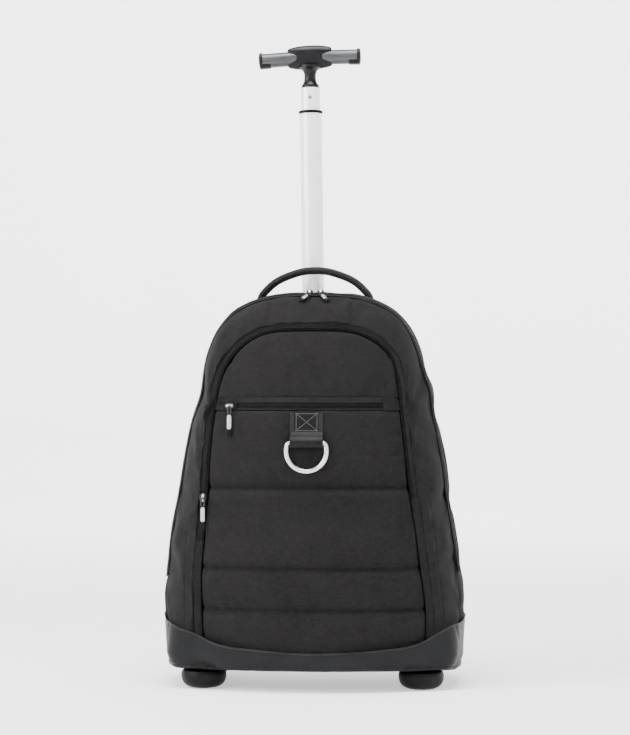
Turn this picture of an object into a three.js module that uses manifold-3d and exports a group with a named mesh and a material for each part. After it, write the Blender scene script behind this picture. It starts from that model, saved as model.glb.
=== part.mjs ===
// A wheeled backpack that stands on two front feet and two rear wheels, with its telescopic pole drawn out.
// Millimetres, +Z up. The front with the quilted pocket faces -Y and +X is to the right of it.
// The origin is on the ground, under the middle of the whole object's box.

import * as THREE from "three";
import { mergeVertices } from "three/addons/utils/BufferGeometryUtils.js";
import Module from "manifold-3d";

const wasm = await Module();
wasm.setup();

// Gaps
const gap = 0.3; // between pieces that touch on the real bag
const slidingGap = 0.35; // all round a tube inside the next one
const bootGap = 0.8; // between the fabric and the boot round it

// Fabric body. Depths are measured from the bag's widest outline, which lies in the plane y = 0 below
const bagWidth = 356;
const bagHeight = 448; // from the underside of the fabric to the crown
const groundGap = 16; // from the ground to the underside of the boot
const shoulderDrop = 24; // the crown rises this much between the shoulders
const shoulderSpan = 200; // width where the sides turn into the crown
const crownPower = 3.2;
const frontToMainZip = 30; // depth from the widest outline forward to the main zip
const rearDepth = 82; // depth from the widest outline back to the rear edge
const shellWall = 3;
const bootWall = 2;
const bootFrontHeight = 28; // height of the boot at the middle of its front
const bootSideHeight = 66;
const bootCurve = 2.2;

// Front pocket, inside the arched zip
const arcWidth = 280; // across the outer edges of the arched zip
const arcBase = 10; // above the underside of the fabric
const arcShoulder = 375; // above the underside of the fabric
const arcTop = 410;
const arcCrownPower = 3.6;
const arcDepth = 76; // depth forward from the widest outline, at the sides of the arched zip
const pocketBulge = 34; // how far the pocket's middle stands in front of the arched zip
const pocketPad = 5; // thickness of the padded pocket face
const bandWall = 3;
const zipWidth = 9;
const zipWall = 1.8;
const zipSunk = 1.2; // how far the zip lies below the pocket face
const pocketZipHeight = 312; // of the straight zip's middle, above the underside of the fabric
const seamSink = 2.6; // depth of the quilting seams
const dividerWall = 2;

// Zip sliders and their pulls
const sliderWidth = 8;
const sliderLength = 11;
const sliderThick = 3.6;
const pullWidth = 7.5;
const pullNeck = 2.4; // half the width of a pull's upper end
const pullWall = 1.8;
const sidePullLength = 37;
const pocketPullLean = 6; // degrees, the pocket pull's lean off the bulging face
const topPullLength = 20;
const topPullApart = 13; // between the middles of the two sliders on the crown
const topPullShift = 2.3; // from the middle of the bag to the middle between them
const topPullSplay = 30; // degrees, the pulls' turn away from each other
const topPullSwing = 14; // degrees, the pulls' lift off the crown's slope
const crownSlope = 19; // degrees, the crown's fall towards the front at the pulls
const pocketSliderInset = 27; // from the left side of the arched zip
const arcSliderHeight = 205; // above the underside of the fabric

// Hidden back
const backPad = 8;
const columnPad = 6;
const columnWidth = 58;
const columnHeight = 260;
const columnApart = 26; // gap between the two foam columns
const columnLift = 120;
const strapWidth = 62;
const strapPad = 10;
const strapBow = 20; // how far the shoulder straps bow away from the back
const strapTop = 436; // height at which the shoulder straps leave the back
const strapTopOut = 36; // from the middle of the back to each strap's middle, at its top
const strapLockOut = 84; // the same at its lower end
const webbingWidth = 25;
const webbingWall = 2;
const webbingFoot = 104; // height at which the strap webbing is sewn to the back
const webbingFootOut = 122; // from the middle of the back to that seam's middle
const lockTop = 205; // height of the ladder locks' upper edge
const lockLength = 26;
const lockRim = 4; // from the webbing's edge to the lock's
const lockThick = 5;
const lockSlot = 5;

// Feet and wheels
const footSpan = 256; // between the middles of the two feet, and of the two wheels
const footRadius = 27;
const footTread = 12.5;
const footDepth = 44; // depth forward from the widest outline
const wheelRadius = 32;
const wheelWidth = 24;
const wheelDepth = 60; // depth back from the widest outline
const tyreWall = 7.5;
const axleRadius = 4;
const runningGap = 2.4;
const housingWall = 3.2;
const cheekWall = 4.5;
const housingFloor = 9; // height of the housings' lower edges
const housingBack = 14; // from the axle back to the edge of the opening behind the wheel
const tyreEdgeIn = 2.5; // the bevel on each shoulder of the tyre
const tyreEdgeAcross = 4;
const hubBoss = 5; // wall of the boss round the axle
const hubDish = 5; // depth of the dish on each side of the hub

// Telescopic pole. Heights are measured along it from the ground
const poleDepth = 56; // depth back from the widest outline
const poleLean = 0.85; // degrees, towards -X at the top
const poleCrossing = 140; // height at which the leaning pole crosses the middle of the bag
const innerTubeRadius = 12;
const tubeWall = 1.3;
const midTubeTop = 690.5;
const midTubeOverlap = 62; // length of the middle tube that stays inside the outer tube
const collarHeight = 3;
const innerTubeShown = 31.5; // length of the inner tube above the middle one
const innerTubeLength = 262;
const buttonDrop = 12.5; // from the inner tube's top down to the button
const buttonRadius = 2.2;
const portRim = 8; // width of the port's rim round the pole
const portRise = 3; // the port's top above the crown in front of it
const portLength = 20;

// Handle across the top of the pole
const handleSpan = 126;
const handleLift = 38; // from the inner tube's top up to the grips' axis
const handleRoll = 1.45; // degrees, right end up
const gripDroop = 1.6; // degrees, each grip from the hub outwards
const gripRadius = 8.9;
const gripStart = 12.8;
const gripNeck = 5.4; // radius of a grip's tapered inner end
const gripTaper = 3; // length of that taper
const hubWidth = 54;
const hubHeight = 30;
const hubDepth = 19.6;
const capLength = 4.6;
const capLip = 10; // length of each cap's lip under its grip
const capFlange = 1.4; // the caps stand out this much round the grips

// Carry handle
const carrySpan = 141;
const carryRise = 37;
const carryWidth = 25;
const carryThick = 9;
const carryDepth = 20; // depth back from the widest outline

// Ring and its webbing patch on the pocket
const patchWidth = 39;
const patchLength = 31;
const patchWall = 2.5;
const ringWidth = 52;
const ringHeight = 38;
const ringWire = 5.6;
const ringShift = -3; // the patch sits this far off the middle

// Derived heights, from the ground
const innerTubeTop = midTubeTop + innerTubeShown;
const handleCentre = innerTubeTop + handleLift;
const base = groundGap + bootWall + bootGap;
const crown = base + bagHeight;
const shoulder = crown - shoulderDrop;

// Half-width of the bag by height, as shares of half its width. up is the share of the height to the shoulder
const bagSides = [
  { up: 0, out: 0.925 },
  { up: 0.012, out: 0.962 },
  { up: 0.035, out: 0.982 },
  { up: 0.1, out: 0.99 },
  { up: 0.21, out: 1 },
  { up: 0.3, out: 0.978 },
  { up: 0.39, out: 0.949 },
  { up: 0.48, out: 0.911 },
  { up: 0.57, out: 0.88 },
  { up: 0.66, out: 0.841 },
  { up: 0.75, out: 0.791 },
  { up: 0.83, out: 0.75 },
  { up: 0.91, out: 0.697 },
  { up: 0.96, out: 0.64 },
];

// The arched zip by height: half-width and sideways shift as shares of half its width,
// depth as a share of arcDepth, and how far the pocket bulges in front of it as a share of pocketBulge
const arcSides = [
  { up: 0, out: 0.985, shift: 0.02, deep: 0.84, bulge: 0.98 },
  { up: 0.18, out: 1, shift: 0.02, deep: 0.92, bulge: 0.95 },
  { up: 0.31, out: 0.978, shift: 0, deep: 0.965, bulge: 0.92 },
  { up: 0.41, out: 0.95, shift: -0.005, deep: 0.98, bulge: 0.89 },
  { up: 0.57, out: 0.902, shift: -0.02, deep: 0.98, bulge: 0.85 },
  { up: 0.7, out: 0.872, shift: -0.03, deep: 0.96, bulge: 0.8 },
  { up: 0.83, out: 0.833, shift: -0.03, deep: 0.91, bulge: 0.7 },
  { up: 0.92, out: 0.797, shift: -0.02, deep: 0.86, bulge: 0.59 },
  { up: 0.97, out: 0.757, shift: -0.01, deep: 0.825, bulge: 0.51 },
  { up: 1, out: 0.714, shift: 0, deep: 0.8, bulge: 0.46 },
];
const arcTopBulge = 0.1; // share of pocketBulge left at the middle of the arch

// Outlines of the main part from the main zip back to the rear edge.
// back is the share of that depth, inset the share of rearInset by which the outline draws in
const mainStations = [
  { back: 0, inset: 0.42 },
  { back: 0.1, inset: 0.16 },
  { back: 0.27, inset: 0 },
  { back: 0.6, inset: 0.05 },
  { back: 0.85, inset: 0.4 },
  { back: 1, inset: 1 },
];
const rearInset = 12;
const backToFront = [...mainStations].reverse();

// Steps of the outlines, as shares of the side and of the width
const sideSteps = [0, 0.012, 0.04, 0.13, 0.26, 0.4, 0.54, 0.68, 0.82, 0.93, 1];
const acrossSteps = [0.1, 0.22, 0.35, 0.5, 0.65, 0.78, 0.9];
const bandSteps = [0, 0.22, 0.45, 0.7, 1];

// Heights of the quilting seams above the underside of the fabric, as shares of arcShoulder
const quiltSeams = [0.205, 0.334, 0.581];

// The middle line of a shoulder strap: out and up are shares of its way from its top to its lock,
// and bow is the share of its bow away from the back
const strapRoute = [
  { up: 1, out: 0, bow: 0 },
  { up: 0.866, out: 0.104, bow: 0.32 },
  { up: 0.606, out: 0.375, bow: 0.88 },
  { up: 0.368, out: 0.625, bow: 1 },
  { up: 0.173, out: 0.833, bow: 0.76 },
  { up: 0, out: 1, bow: 0.36 },
];

// The strap webbing from the lock down to its seam, as shares of its way out, down and back to the bag
const webbingRoute = [
  { out: 0, up: 1, off: 1 },
  { out: 0.333, up: 0.64, off: 0.63 },
  { out: 0.722, up: 0.27, off: 0.25 },
  { out: 1, up: 0, off: 0 },
];

// The handle's stem from its foot up to the hub: radius and height as shares of the tube's radius and of the stem
const stemProfile = [
  { out: 0.917, up: 0 },
  { out: 0.917, up: 0.11 },
  { out: 0.667, up: 0.26 },
  { out: 0.6, up: 0.48 },
  { out: 0.617, up: 1 },
];

// The carry handle's middle line on the right: a share of half its span, and a height above its foot
// as a share of its rise
const carryRoute = [
  { out: 0.2, up: 0.975 },
  { out: 0.47, up: 0.84 },
  { out: 0.736, up: 0.611 },
  { out: 0.888, up: 0.37 },
  { out: 1, up: 0.12 },
  { out: 1.03, up: -0.12 },
];

const materials = {
  fabric: { color: 0x3b3c3f, roughness: 0.95, metalness: 0 },
  coated: { color: 0x3a3c42, roughness: 0.45, metalness: 0 },
  zipTape: { color: 0x141416, roughness: 0.7, metalness: 0 },
  webbing: { color: 0x1d1d20, roughness: 0.6, metalness: 0 },
  plastic: { color: 0x16161a, roughness: 0.4, metalness: 0 },
  rubber: { color: 0x101012, roughness: 0.85, metalness: 0 },
  tube: { color: 0xc9ccd2, roughness: 0.3, metalness: 0.9 },
  grip: { color: 0x7c7f84, roughness: 0.45, metalness: 0.7 },
  steel: { color: 0xb8b9bb, roughness: 0.3, metalness: 1 },
};

const at = (x, y, z) => new THREE.Vector3(x, y, z);
const mix = THREE.MathUtils.lerp;
const radians = THREE.MathUtils.degToRad;

// A smooth curve through one column of a table
function column(table, by, name) {
  const curve = new THREE.CubicInterpolant(table.map((row) => row[by]), table.map((row) => row[name]), 1);
  return (value) => curve.evaluate(value)[0];
}

// A closed solid from points and triangles, turned so that its faces point out
function closedSolid(points, faces) {
  let volume = 0;
  for (let i = 0; i < faces.length; i += 3) {
    const [a, b, c] = [points[faces[i]], points[faces[i + 1]], points[faces[i + 2]]];
    volume += a.dot(b.clone().cross(c));
  }
  const geometry = new THREE.BufferGeometry().setFromPoints(points);
  geometry.setIndex(volume < 0 ? faces.reverse() : faces);
  return geometry;
}

// A solid through loops of equally many points, an even number, and closed by flat ends or on itself
function loft(loops, closed = false) {
  const size = loops[0].length;
  const faces = [];
  const spans = closed ? loops.length : loops.length - 1;
  for (let i = 0; i < spans; i += 1) {
    const here = i * size;
    const next = ((i + 1) % loops.length) * size;
    for (let j = 0; j < size; j += 1) {
      const k = (j + 1) % size;
      faces.push(here + j, here + k, next + k, here + j, next + k, next + j);
    }
  }
  const last = (loops.length - 1) * size;
  for (let j = 0; !closed && j < size / 2 - 1; j += 1) {
    const far = size - 1 - j;
    faces.push(j + 1, j, far, j + 1, far, far - 1);
    faces.push(last + j, last + j + 1, last + far - 1, last + j, last + far - 1, last + far);
  }
  return closedSolid(loops.flat(), faces);
}

// A wall between two grids of points with the same rows
function wall(front, back, closed = false) {
  return loft(front.map((row, i) => [...row, ...back[i].slice().reverse()]), closed);
}

// Boolean work
function manifoldOf(geometry) {
  const bare = geometry.clone();
  bare.deleteAttribute("normal");
  bare.deleteAttribute("uv");
  const merged = mergeVertices(bare, 1e-4);
  return new wasm.Manifold(new wasm.Mesh({
    numProp: 3,
    vertProperties: new Float32Array(merged.attributes.position.array),
    triVerts: new Uint32Array(merged.index.array),
  }));
}

function geometryOf(solid) {
  const mesh = solid.getMesh();
  const geometry = new THREE.BufferGeometry();
  geometry.setAttribute("position", new THREE.BufferAttribute(new Float32Array(mesh.vertProperties), 3));
  geometry.setIndex(new THREE.BufferAttribute(new Uint32Array(mesh.triVerts), 1));
  return geometry;
}

const cut = (body, ...tools) => geometryOf(
  tools.reduce((left, tool) => left.subtract(manifoldOf(tool)), manifoldOf(body)),
);
const join = (...pieces) => geometryOf(
  pieces.slice(1).reduce((left, piece) => left.add(manifoldOf(piece)), manifoldOf(pieces[0])),
);
const common = (body, tool) => geometryOf(manifoldOf(body).intersect(manifoldOf(tool)));

function box(width, depth, height, x, y, z) {
  return new THREE.BoxGeometry(width, depth, height).translate(x, y, z);
}

// A cylinder or cone along X, Y or Z, from its middle
function rod(axis, radius, length, sides = 24, farRadius = radius) {
  const geometry = new THREE.CylinderGeometry(farRadius, radius, length, sides);
  if (axis === "x") geometry.rotateZ(-Math.PI / 2);
  if (axis === "z") geometry.rotateX(Math.PI / 2);
  return geometry;
}

// A turned solid about Z from pairs of radius and height
function turned(profile, sides = 24) {
  const points = profile.map(([radius, height]) => new THREE.Vector2(radius, height));
  return new THREE.LatheGeometry(points, sides).rotateX(Math.PI / 2);
}

// A ring or tube about Z
function tube(outer, inner, from, to, sides = 24) {
  return turned([[inner, from], [outer, from], [outer, to], [inner, to], [inner, from]], sides);
}

const group = new THREE.Group();
const bag = new THREE.Group();
group.add(bag);

function piece(name, geometry, finish, parent = bag) {
  const mesh = new THREE.Mesh(geometry, new THREE.MeshStandardMaterial(materials[finish]));
  mesh.name = name;
  parent.add(mesh);
  return mesh;
}

// One closed outline: up the left side, over the crown, down the right side and back along the bottom.
// Each point says which way is out of it and, on the sides, its share of the height.
// A square outline has upright sides down to its bottom corners
function outline({ low, high, top, power, half, centre, square = false }) {
  const points = [];
  const sidePoint = (up, side) => {
    const [left, right] = [centre(up) - half(up), centre(up) + half(up)];
    points.push({ x: side < 0 ? left : right, z: mix(low, high, up), up });
  };
  sideSteps.forEach((up) => sidePoint(up, -1));
  for (const share of acrossSteps) {
    const side = 2 * share - 1;
    const rise = (top - high) * (1 - Math.abs(side) ** power);
    points.push({ x: centre(1) + side * half(1), z: high + rise, up: 1, side });
  }
  [...sideSteps].reverse().forEach((up) => sidePoint(up, 1));
  for (const share of [...acrossSteps].reverse()) {
    const side = 2 * share - 1;
    points.push({ x: centre(0) + side * half(0), z: low, up: 0, side });
  }
  points.forEach((point, i) => {
    const before = points[(i + points.length - 1) % points.length];
    const after = points[(i + 1) % points.length];
    const along = new THREE.Vector2(after.x - before.x, after.z - before.z).normalize();
    [point.outX, point.outZ] = [-along.y, along.x];
    if (square && point.up === 0 && point.side === undefined) [point.outX, point.outZ] = [Math.sign(point.x), 0];
  });
  return points;
}

const bagHalf = column([...bagSides, { up: 1, out: shoulderSpan / bagWidth }], "up", "out");
const bagOutline = outline({
  low: base,
  high: shoulder,
  top: crown,
  power: crownPower,
  half: (up) => bagHalf(up) * bagWidth / 2,
  centre: () => 0,
});

const arcHalf = column(arcSides, "up", "out");
const arcShift = column(arcSides, "up", "shift");
const arcDeep = column(arcSides, "up", "deep");
const arcBulge = column(arcSides, "up", "bulge");
const arcOutline = outline({
  low: base + arcBase,
  high: base + arcShoulder,
  top: base + arcTop,
  power: arcCrownPower,
  half: (up) => arcHalf(up) * arcWidth / 2,
  centre: (up) => arcShift(up) * arcWidth / 2,
  square: true,
});

// How round the pocket is across its width, from 1 in the middle to 0 at the arched zip
const across = (side) => 1 - Math.abs(side) ** 2.2;

// The pocket's front surface, as a depth, at a share of the width and of the height
function pocketDepth(side, up, overTop = 0) {
  const bulge = mix(arcBulge(up), arcTopBulge, overTop);
  return -(arcDeep(up) * arcDepth + bulge * pocketBulge * across(side));
}

// Where the arched zip lies at a point of its outline
function arcPoint(point, grow = 0) {
  const onCrown = point.up === 1 && point.side !== undefined;
  const depth = pocketDepth(point.side ?? 1, point.up, onCrown ? 1 : 0);
  return at(point.x + point.outX * grow, depth, point.z + point.outZ * grow);
}

// The main part's outline at a station, drawn in from the widest one and then grown by a wall's thickness
function mainPoint(point, station, grow = 0) {
  const shrink = 1 - (station.inset * rearInset) / (bagWidth / 2);
  const middle = (base + crown) / 2;
  const depth = mix(-frontToMainZip, rearDepth, station.back);
  return at(point.x * shrink + point.outX * grow, depth, middle + (point.z - middle) * shrink + point.outZ * grow);
}

// The front band between the main zip and the arched zip: round along the bottom, flatter on the sides.
// grow moves its face out of the bag
function bandPoint(index, share, grow = 0) {
  const outer = mainPoint(bagOutline[index], mainStations[0]);
  const inner = arcPoint(arcOutline[index]);
  const { up, outX, outZ } = bagOutline[index];
  const flatness = mix(0.55, 1.35, THREE.MathUtils.smoothstep(up, 0, 0.2));
  const turn = share * Math.PI / 2;
  const sideways = Math.cos(turn) ** flatness;
  const forwards = share === 1 ? 1 : Math.sin(turn) ** flatness;
  const point = at(
    mix(inner.x, outer.x, share === 1 ? 0 : sideways),
    mix(outer.y, inner.y, forwards),
    mix(inner.z, outer.z, share === 1 ? 0 : sideways),
  );
  return point.add(at(outX * Math.cos(turn), -Math.sin(turn), outZ * Math.cos(turn)).multiplyScalar(grow));
}

// The edge of the pocket face, drawn in from the arched zip's outline: its sides by height and its crown by x
function pocketEdge(inset) {
  const points = arcOutline.map((p) => ({ x: p.x - p.outX * inset, z: p.z - p.outZ * inset }));
  const crownEnd = sideSteps.length + acrossSteps.length;
  const straight = (list, by, name) => {
    const line = new THREE.LinearInterpolant(list.map((p) => p[by]), list.map((p) => p[name]), 1);
    return (value) => line.evaluate(value)[0];
  };
  return {
    left: straight(points.slice(0, sideSteps.length), "z", "x"),
    right: straight(points.slice(crownEnd, crownEnd + sideSteps.length).reverse(), "z", "x"),
    crown: straight(points.slice(sideSteps.length - 1, crownEnd + 1), "x", "z"),
    shoulder: points[crownEnd].z,
  };
}

// Rows of the pocket face, from heights above the underside of the fabric.
// A crowned face takes its last row up to the arch, with the rise spread over its rows
function pocketFace(heights, { columns = 10, inset = zipWidth + gap, grow = 0, crowned = false } = {}) {
  const edge = pocketEdge(inset);
  const [first, last] = [heights[0], crowned ? edge.shoulder - base : heights[heights.length - 1]];
  return heights.map((height) => {
    const share = (height - first) / (heights[heights.length - 1] - first);
    const level = mix(first, last, share);
    const up = THREE.MathUtils.clamp((level - arcBase) / (arcShoulder - arcBase), 0, 1);
    const lift = crowned ? share ** 1.5 : 0;
    const seam = Math.min(...quiltSeams.map((seamShare) => Math.abs(level - seamShare * arcShoulder)));
    const [left, right] = [edge.left(base + level), edge.right(base + level)];
    return spread(left, right, columns).map((x, i) => {
      const side = 2 * i / columns - 1;
      const sunk = seamSink * Math.exp(-((seam / 5) ** 2)) * (0.35 + 0.65 * across(side));
      const rise = lift * (edge.crown(x) - edge.shoulder);
      return at(x, pocketDepth(side, up, lift ** 2) + sunk - grow, base + level + rise);
    });
  });
}

const pushedBack = (rows, thickness) => rows.map((row) => row.map((p) => at(p.x, p.y + thickness, p.z)));

function spread(from, to, count) {
  return Array.from({ length: count + 1 }, (_, i) => mix(from, to, i / count));
}

// Heights of the rows on the quilted face: close together at the seams, wider between them
function quiltHeights(low, high) {
  const stops = [low, ...quiltSeams.map((share) => share * arcShoulder), high];
  const rows = [low];
  for (let i = 1; i < stops.length; i += 1) {
    for (const share of [0.12, 0.5, 0.88, 1]) rows.push(mix(stops[i - 1], stops[i], share));
  }
  return rows;
}

// Closed copies of the bag's outer form, used only to cut its neighbours
function mainForm(grow) {
  const rings = backToFront.map((station) => bagOutline.map((point) => mainPoint(point, station, grow)));
  const band = bandSteps.slice(1).map((share) => bagOutline.map((_, i) => bandPoint(i, share, grow)));
  const rear = rings[0].map((p) => at(p.x, p.y + grow, p.z));
  return capped([rear, ...rings, ...band]);
}

// A solid through whole outlines, closed by strips that pair the left half of an outline with its right half
function capped(rings) {
  const shift = acrossSteps.length + 2 * sideSteps.length + (acrossSteps.length + 1) / 2;
  return loft(rings.map((ring) => ring.map((_, i) => ring[(i + shift) % ring.length])));
}

function pocketForm(grow) {
  const face = pocketFace(quiltHeights(arcBase - grow, arcShoulder * 0.9), { inset: 0, grow });
  return wall(face, face.map((row) => row.map((p) => at(p.x, -frontToMainZip, p.z))));
}

// Wheels, placed by their side
const axleY = wheelDepth;
const axleZ = wheelRadius;
const wellWidth = wheelWidth + 2 * runningGap;
const housingRadius = wheelRadius + runningGap + housingWall;
const housingWidth = wellWidth + 2 * cheekWall;
const wheelSides = [["left", -1], ["right", 1]];
const wheelX = (side) => side * footSpan / 2;

const housingRooms = wheelSides.map(([, side]) => (
  rod("x", housingRadius + gap, housingWidth + 2 * gap, 28).translate(wheelX(side), axleY, axleZ)
));

function mainShell() {
  const outer = bagOutline.map((point) => backToFront.map((station) => mainPoint(point, station)));
  const inner = bagOutline.map((point) => backToFront.map((station) => mainPoint(point, station, -shellWall)));
  return wall(outer, inner, true);
}

function frontBand() {
  const clear = (share) => at(0, -gap * (1 - share), 0);
  const face = (grow) => bagOutline.map((_, i) => (
    bandSteps.map((share) => bandPoint(i, share, grow).add(clear(share)))
  ));
  return wall(face(0), face(-bandWall), true);
}

// The zip or placket in the slot between the band and the pocket face, from one point of the outline to another.
// Either end may lie between two points
function slotStrip(from, to, sunk, thickness) {
  const loops = [];
  const stops = [from];
  for (let i = Math.floor(from) + 1; i < to; i += 1) stops.push(i);
  for (const stop of [...stops, to]) {
    const [point, next] = [arcOutline[Math.floor(stop)], arcOutline[Math.ceil(stop)]];
    const [outer, inner] = [-gap, -zipWidth].map((grow) => (
      arcPoint(point, grow).lerp(arcPoint(next, grow), stop % 1)
    ));
    loops.push([
      at(outer.x, outer.y + sunk, outer.z),
      at(inner.x, inner.y + sunk, inner.z),
      at(inner.x, inner.y + sunk + thickness, inner.z),
      at(outer.x, outer.y + sunk + thickness, outer.z),
    ]);
  }
  return loft(loops);
}

// The main zip lies on the shell's front edge, over the outline's points from one to another
function mainZip(from, to) {
  const loops = [];
  const [front, back] = [mainStations[0], mainStations[1]];
  for (let i = from; i <= to; i += 1) {
    const point = bagOutline[i];
    loops.push([
      mainPoint(point, front, gap),
      mainPoint(point, back, gap),
      mainPoint(point, back, gap + zipWall),
      mainPoint(point, front, gap + zipWall),
    ]);
  }
  return loft(loops);
}

function flatPanel(ringPoints, from, thickness) {
  const shape = new THREE.Shape(ringPoints.map((p) => new THREE.Vector2(p.x, p.z)));
  const plate = new THREE.ExtrudeGeometry(shape, { depth: thickness, bevelEnabled: false });
  return plate.rotateX(Math.PI / 2).translate(0, from + thickness, 0);
}

// A flat strap along a smooth path through its points. Its width lies along `sideways`, square to the path
function strap(points, steps, width, thick, sideways) {
  const path = new THREE.CatmullRomCurve3(points);
  const loops = [];
  for (let i = 0; i <= steps; i += 1) {
    const along = path.getTangentAt(i / steps);
    const side = sideways.clone().addScaledVector(along, -sideways.dot(along)).normalize();
    const face = along.clone().cross(side);
    const centre = path.getPointAt(i / steps);
    const [half, deep] = [width / 2, thick / 2];
    const profile = [
      [-half, deep * 0.4], [-half * 0.86, deep], [half * 0.86, deep], [half, deep * 0.4],
      [half, -deep * 0.4], [half * 0.86, -deep], [-half * 0.86, -deep], [-half, -deep * 0.4],
    ];
    loops.push(profile.map(([u, v]) => centre.clone().addScaledVector(side, u).addScaledVector(face, v)));
  }
  return loft(loops);
}

// A tapered pull that hangs down from z = 0
function zipPull(length) {
  const shape = new THREE.Shape();
  const half = pullWidth / 2;
  shape.moveTo(-pullNeck, 0);
  shape.lineTo(pullNeck, 0);
  shape.lineTo(half, -length * 0.25);
  shape.lineTo(half, -length * 0.85);
  shape.quadraticCurveTo(0, -length * 1.15, -half, -length * 0.85);
  shape.lineTo(-half, -length * 0.25);
  const plate = new THREE.ExtrudeGeometry(shape, { depth: pullWall, bevelEnabled: false, curveSegments: 4 });
  return plate.rotateX(-Math.PI / 2).rotateX(Math.PI).translate(0, pullWall / 2, 0);
}

// A slider on its zip and the pull in front of it. Both face -Y before they lean back about X
function zipFitting(name, { place, length, lean = 0, swing = 0, splay = 0, lying = false }) {
  const seat = new THREE.Group();
  seat.position.copy(place);
  seat.rotation.x = -radians(lean);
  bag.add(seat);
  const size = lying ? [sliderLength, sliderThick, sliderWidth] : [sliderWidth, sliderThick, sliderLength];
  piece(`${name}_slider`, box(...size, 0, -sliderThick / 2, 0), "steel", seat);
  const pull = piece(`${name}_pull`, zipPull(length), "steel", seat);
  pull.position.y = -sliderThick - gap - pullWall / 2;
  const clear = pullWall / 2 + pullNeck * Math.sin(radians(Math.abs(splay)));
  if (swing) pull.position.set(0, -sliderThick / 2, -sliderLength / 2 - clear);
  pull.rotation.set(radians(swing), radians(splay), 0);
}

// Tubes of the pole, each sliding inside the next
const midTubeRadius = innerTubeRadius + slidingGap + tubeWall;
const outerTubeRadius = midTubeRadius + slidingGap + tubeWall;

// Height of the shell's crown at a depth, and the sideways place of the leaning pole at a height
const shellInset = new THREE.LinearInterpolant(
  mainStations.map((station) => mix(-frontToMainZip, rearDepth, station.back)),
  mainStations.map((station) => station.inset),
  1,
);
const shellTop = (depth) => mainPoint({ x: 0, z: crown, outX: 0, outZ: 1 }, {
  back: 0,
  inset: shellInset.evaluate(depth)[0],
}).z;
const shellFloor = mainPoint({ x: 0, z: base, outX: 0, outZ: -1 }, {
  back: 0,
  inset: shellInset.evaluate(poleDepth + outerTubeRadius)[0],
}, -shellWall).z;
const leaning = (height) => -(height - poleCrossing) * Math.tan(radians(poleLean));

// Main part
const portRadius = outerTubeRadius + 2 * gap;
const portTop = shellTop(poleDepth - portRadius - portRim) + portRise;
const portHole = rod("z", portRadius, 60).translate(leaning(crown), poleDepth, crown);
piece("main_shell", cut(mainShell(), portHole, ...housingRooms), "fabric");
piece("front_band", frontBand(), "fabric");
const dividerDepth = -frontToMainZip + dividerWall;
const dividerStation = { back: 0, inset: shellInset.evaluate(dividerDepth)[0] };
const dividerRing = bagOutline.map((point) => mainPoint(point, dividerStation, -shellWall - gap));
piece("pocket_divider", flatPanel(dividerRing, dividerDepth, dividerWall), "fabric");

// Quilted pocket and its zips
const zipLow = pocketZipHeight - zipWidth / 2;
const zipHigh = pocketZipHeight + zipWidth / 2;
const lowerFace = pocketFace(quiltHeights(arcBase + gap, zipLow));
piece("pocket_lower", wall(lowerFace, pushedBack(lowerFace, pocketPad)), "fabric");
const upperFace = pocketFace(spread(zipHigh, arcShoulder, 5), { crowned: true });
piece("pocket_upper", wall(upperFace, pushedBack(upperFace, pocketPad)), "fabric");
const zipFace = pushedBack(pocketFace([zipLow + gap, zipHigh - gap]), zipSunk);
piece("pocket_zip", wall(zipFace, pushedBack(zipFace, zipWall)), "zipTape");

const lastSide = 2 * sideSteps.length + acrossSteps.length - 1;
const [arcZipStart, arcZipEnd] = [5, lastSide - 6];
const mainZipStart = 4;
piece("arc_zip", slotStrip(arcZipStart, arcZipEnd, zipSunk, zipWall), "zipTape");
const zipClear = 0.01; // share of one step of the outline between the zip's end and the placket
piece("placket_left", slotStrip(0, arcZipStart - zipClear, 0, bandWall), "fabric");
piece("placket_right", slotStrip(arcZipEnd + zipClear, lastSide, 0, bandWall), "fabric");
piece("main_zip", mainZip(mainZipStart, lastSide - mainZipStart), "zipTape");

// Sliders with their pulls. The side zips' pulls hang straight down, and those on the crown lie over its edge
const onZip = (side, height, inward) => {
  const up = (height - arcBase) / (arcShoulder - arcBase);
  const reach = arcHalf(up) * arcWidth / 2 - inward;
  const share = inward === zipWidth / 2 ? 1 : reach / (arcHalf(up) * arcWidth / 2);
  return at(arcShift(up) * arcWidth / 2 + side * reach, pocketDepth(share, up), base + height);
};
const seated = (place) => place.add(at(0, -gap, 0));
const pocketSlider = seated(onZip(-1, pocketZipHeight, pocketSliderInset));
zipFitting("pocket_zip", { place: pocketSlider, length: sidePullLength, lean: pocketPullLean, lying: true });
zipFitting("arc_zip", { place: seated(onZip(-1, arcSliderHeight, zipWidth / 2)), length: sidePullLength });
const crownSeat = shellTop(-frontToMainZip * 0.8) + zipWall + 3 * gap;
for (const [side, way] of wheelSides) {
  const place = at(topPullShift + way * topPullApart / 2, -frontToMainZip * 0.8, crownSeat);
  const lie = { lean: 90 - crownSlope, swing: topPullSwing, splay: -way * topPullSplay };
  zipFitting(`main_zip_${side}`, { place, length: topPullLength, ...lie });
}

// Boot: the coated skin round the bottom, higher at the sides than at the front
function bootReach() {
  const shape = new THREE.Shape();
  const half = bagWidth / 2 + bootWall + 5;
  shape.moveTo(-half, 0);
  shape.lineTo(half, 0);
  for (const share of spread(1, -1, 20)) {
    const rise = (bootSideHeight - bootFrontHeight) * Math.abs(share) ** bootCurve;
    shape.lineTo(share * half, groundGap + bootFrontHeight + rise);
  }
  const length = 2 * (rearDepth + arcDepth + pocketBulge);
  return new THREE.ExtrudeGeometry(shape, { depth: length, bevelEnabled: false })
    .rotateX(Math.PI / 2)
    .translate(0, length / 2, 0);
}

const bootOuter = join(mainForm(bootGap + bootWall), pocketForm(bootGap + bootWall));
const bootInside = [mainForm(bootGap), pocketForm(bootGap)];
const boot = cut(common(bootOuter, bootReach()), ...bootInside, ...housingRooms);
piece("base_boot", boot, "coated");

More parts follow.
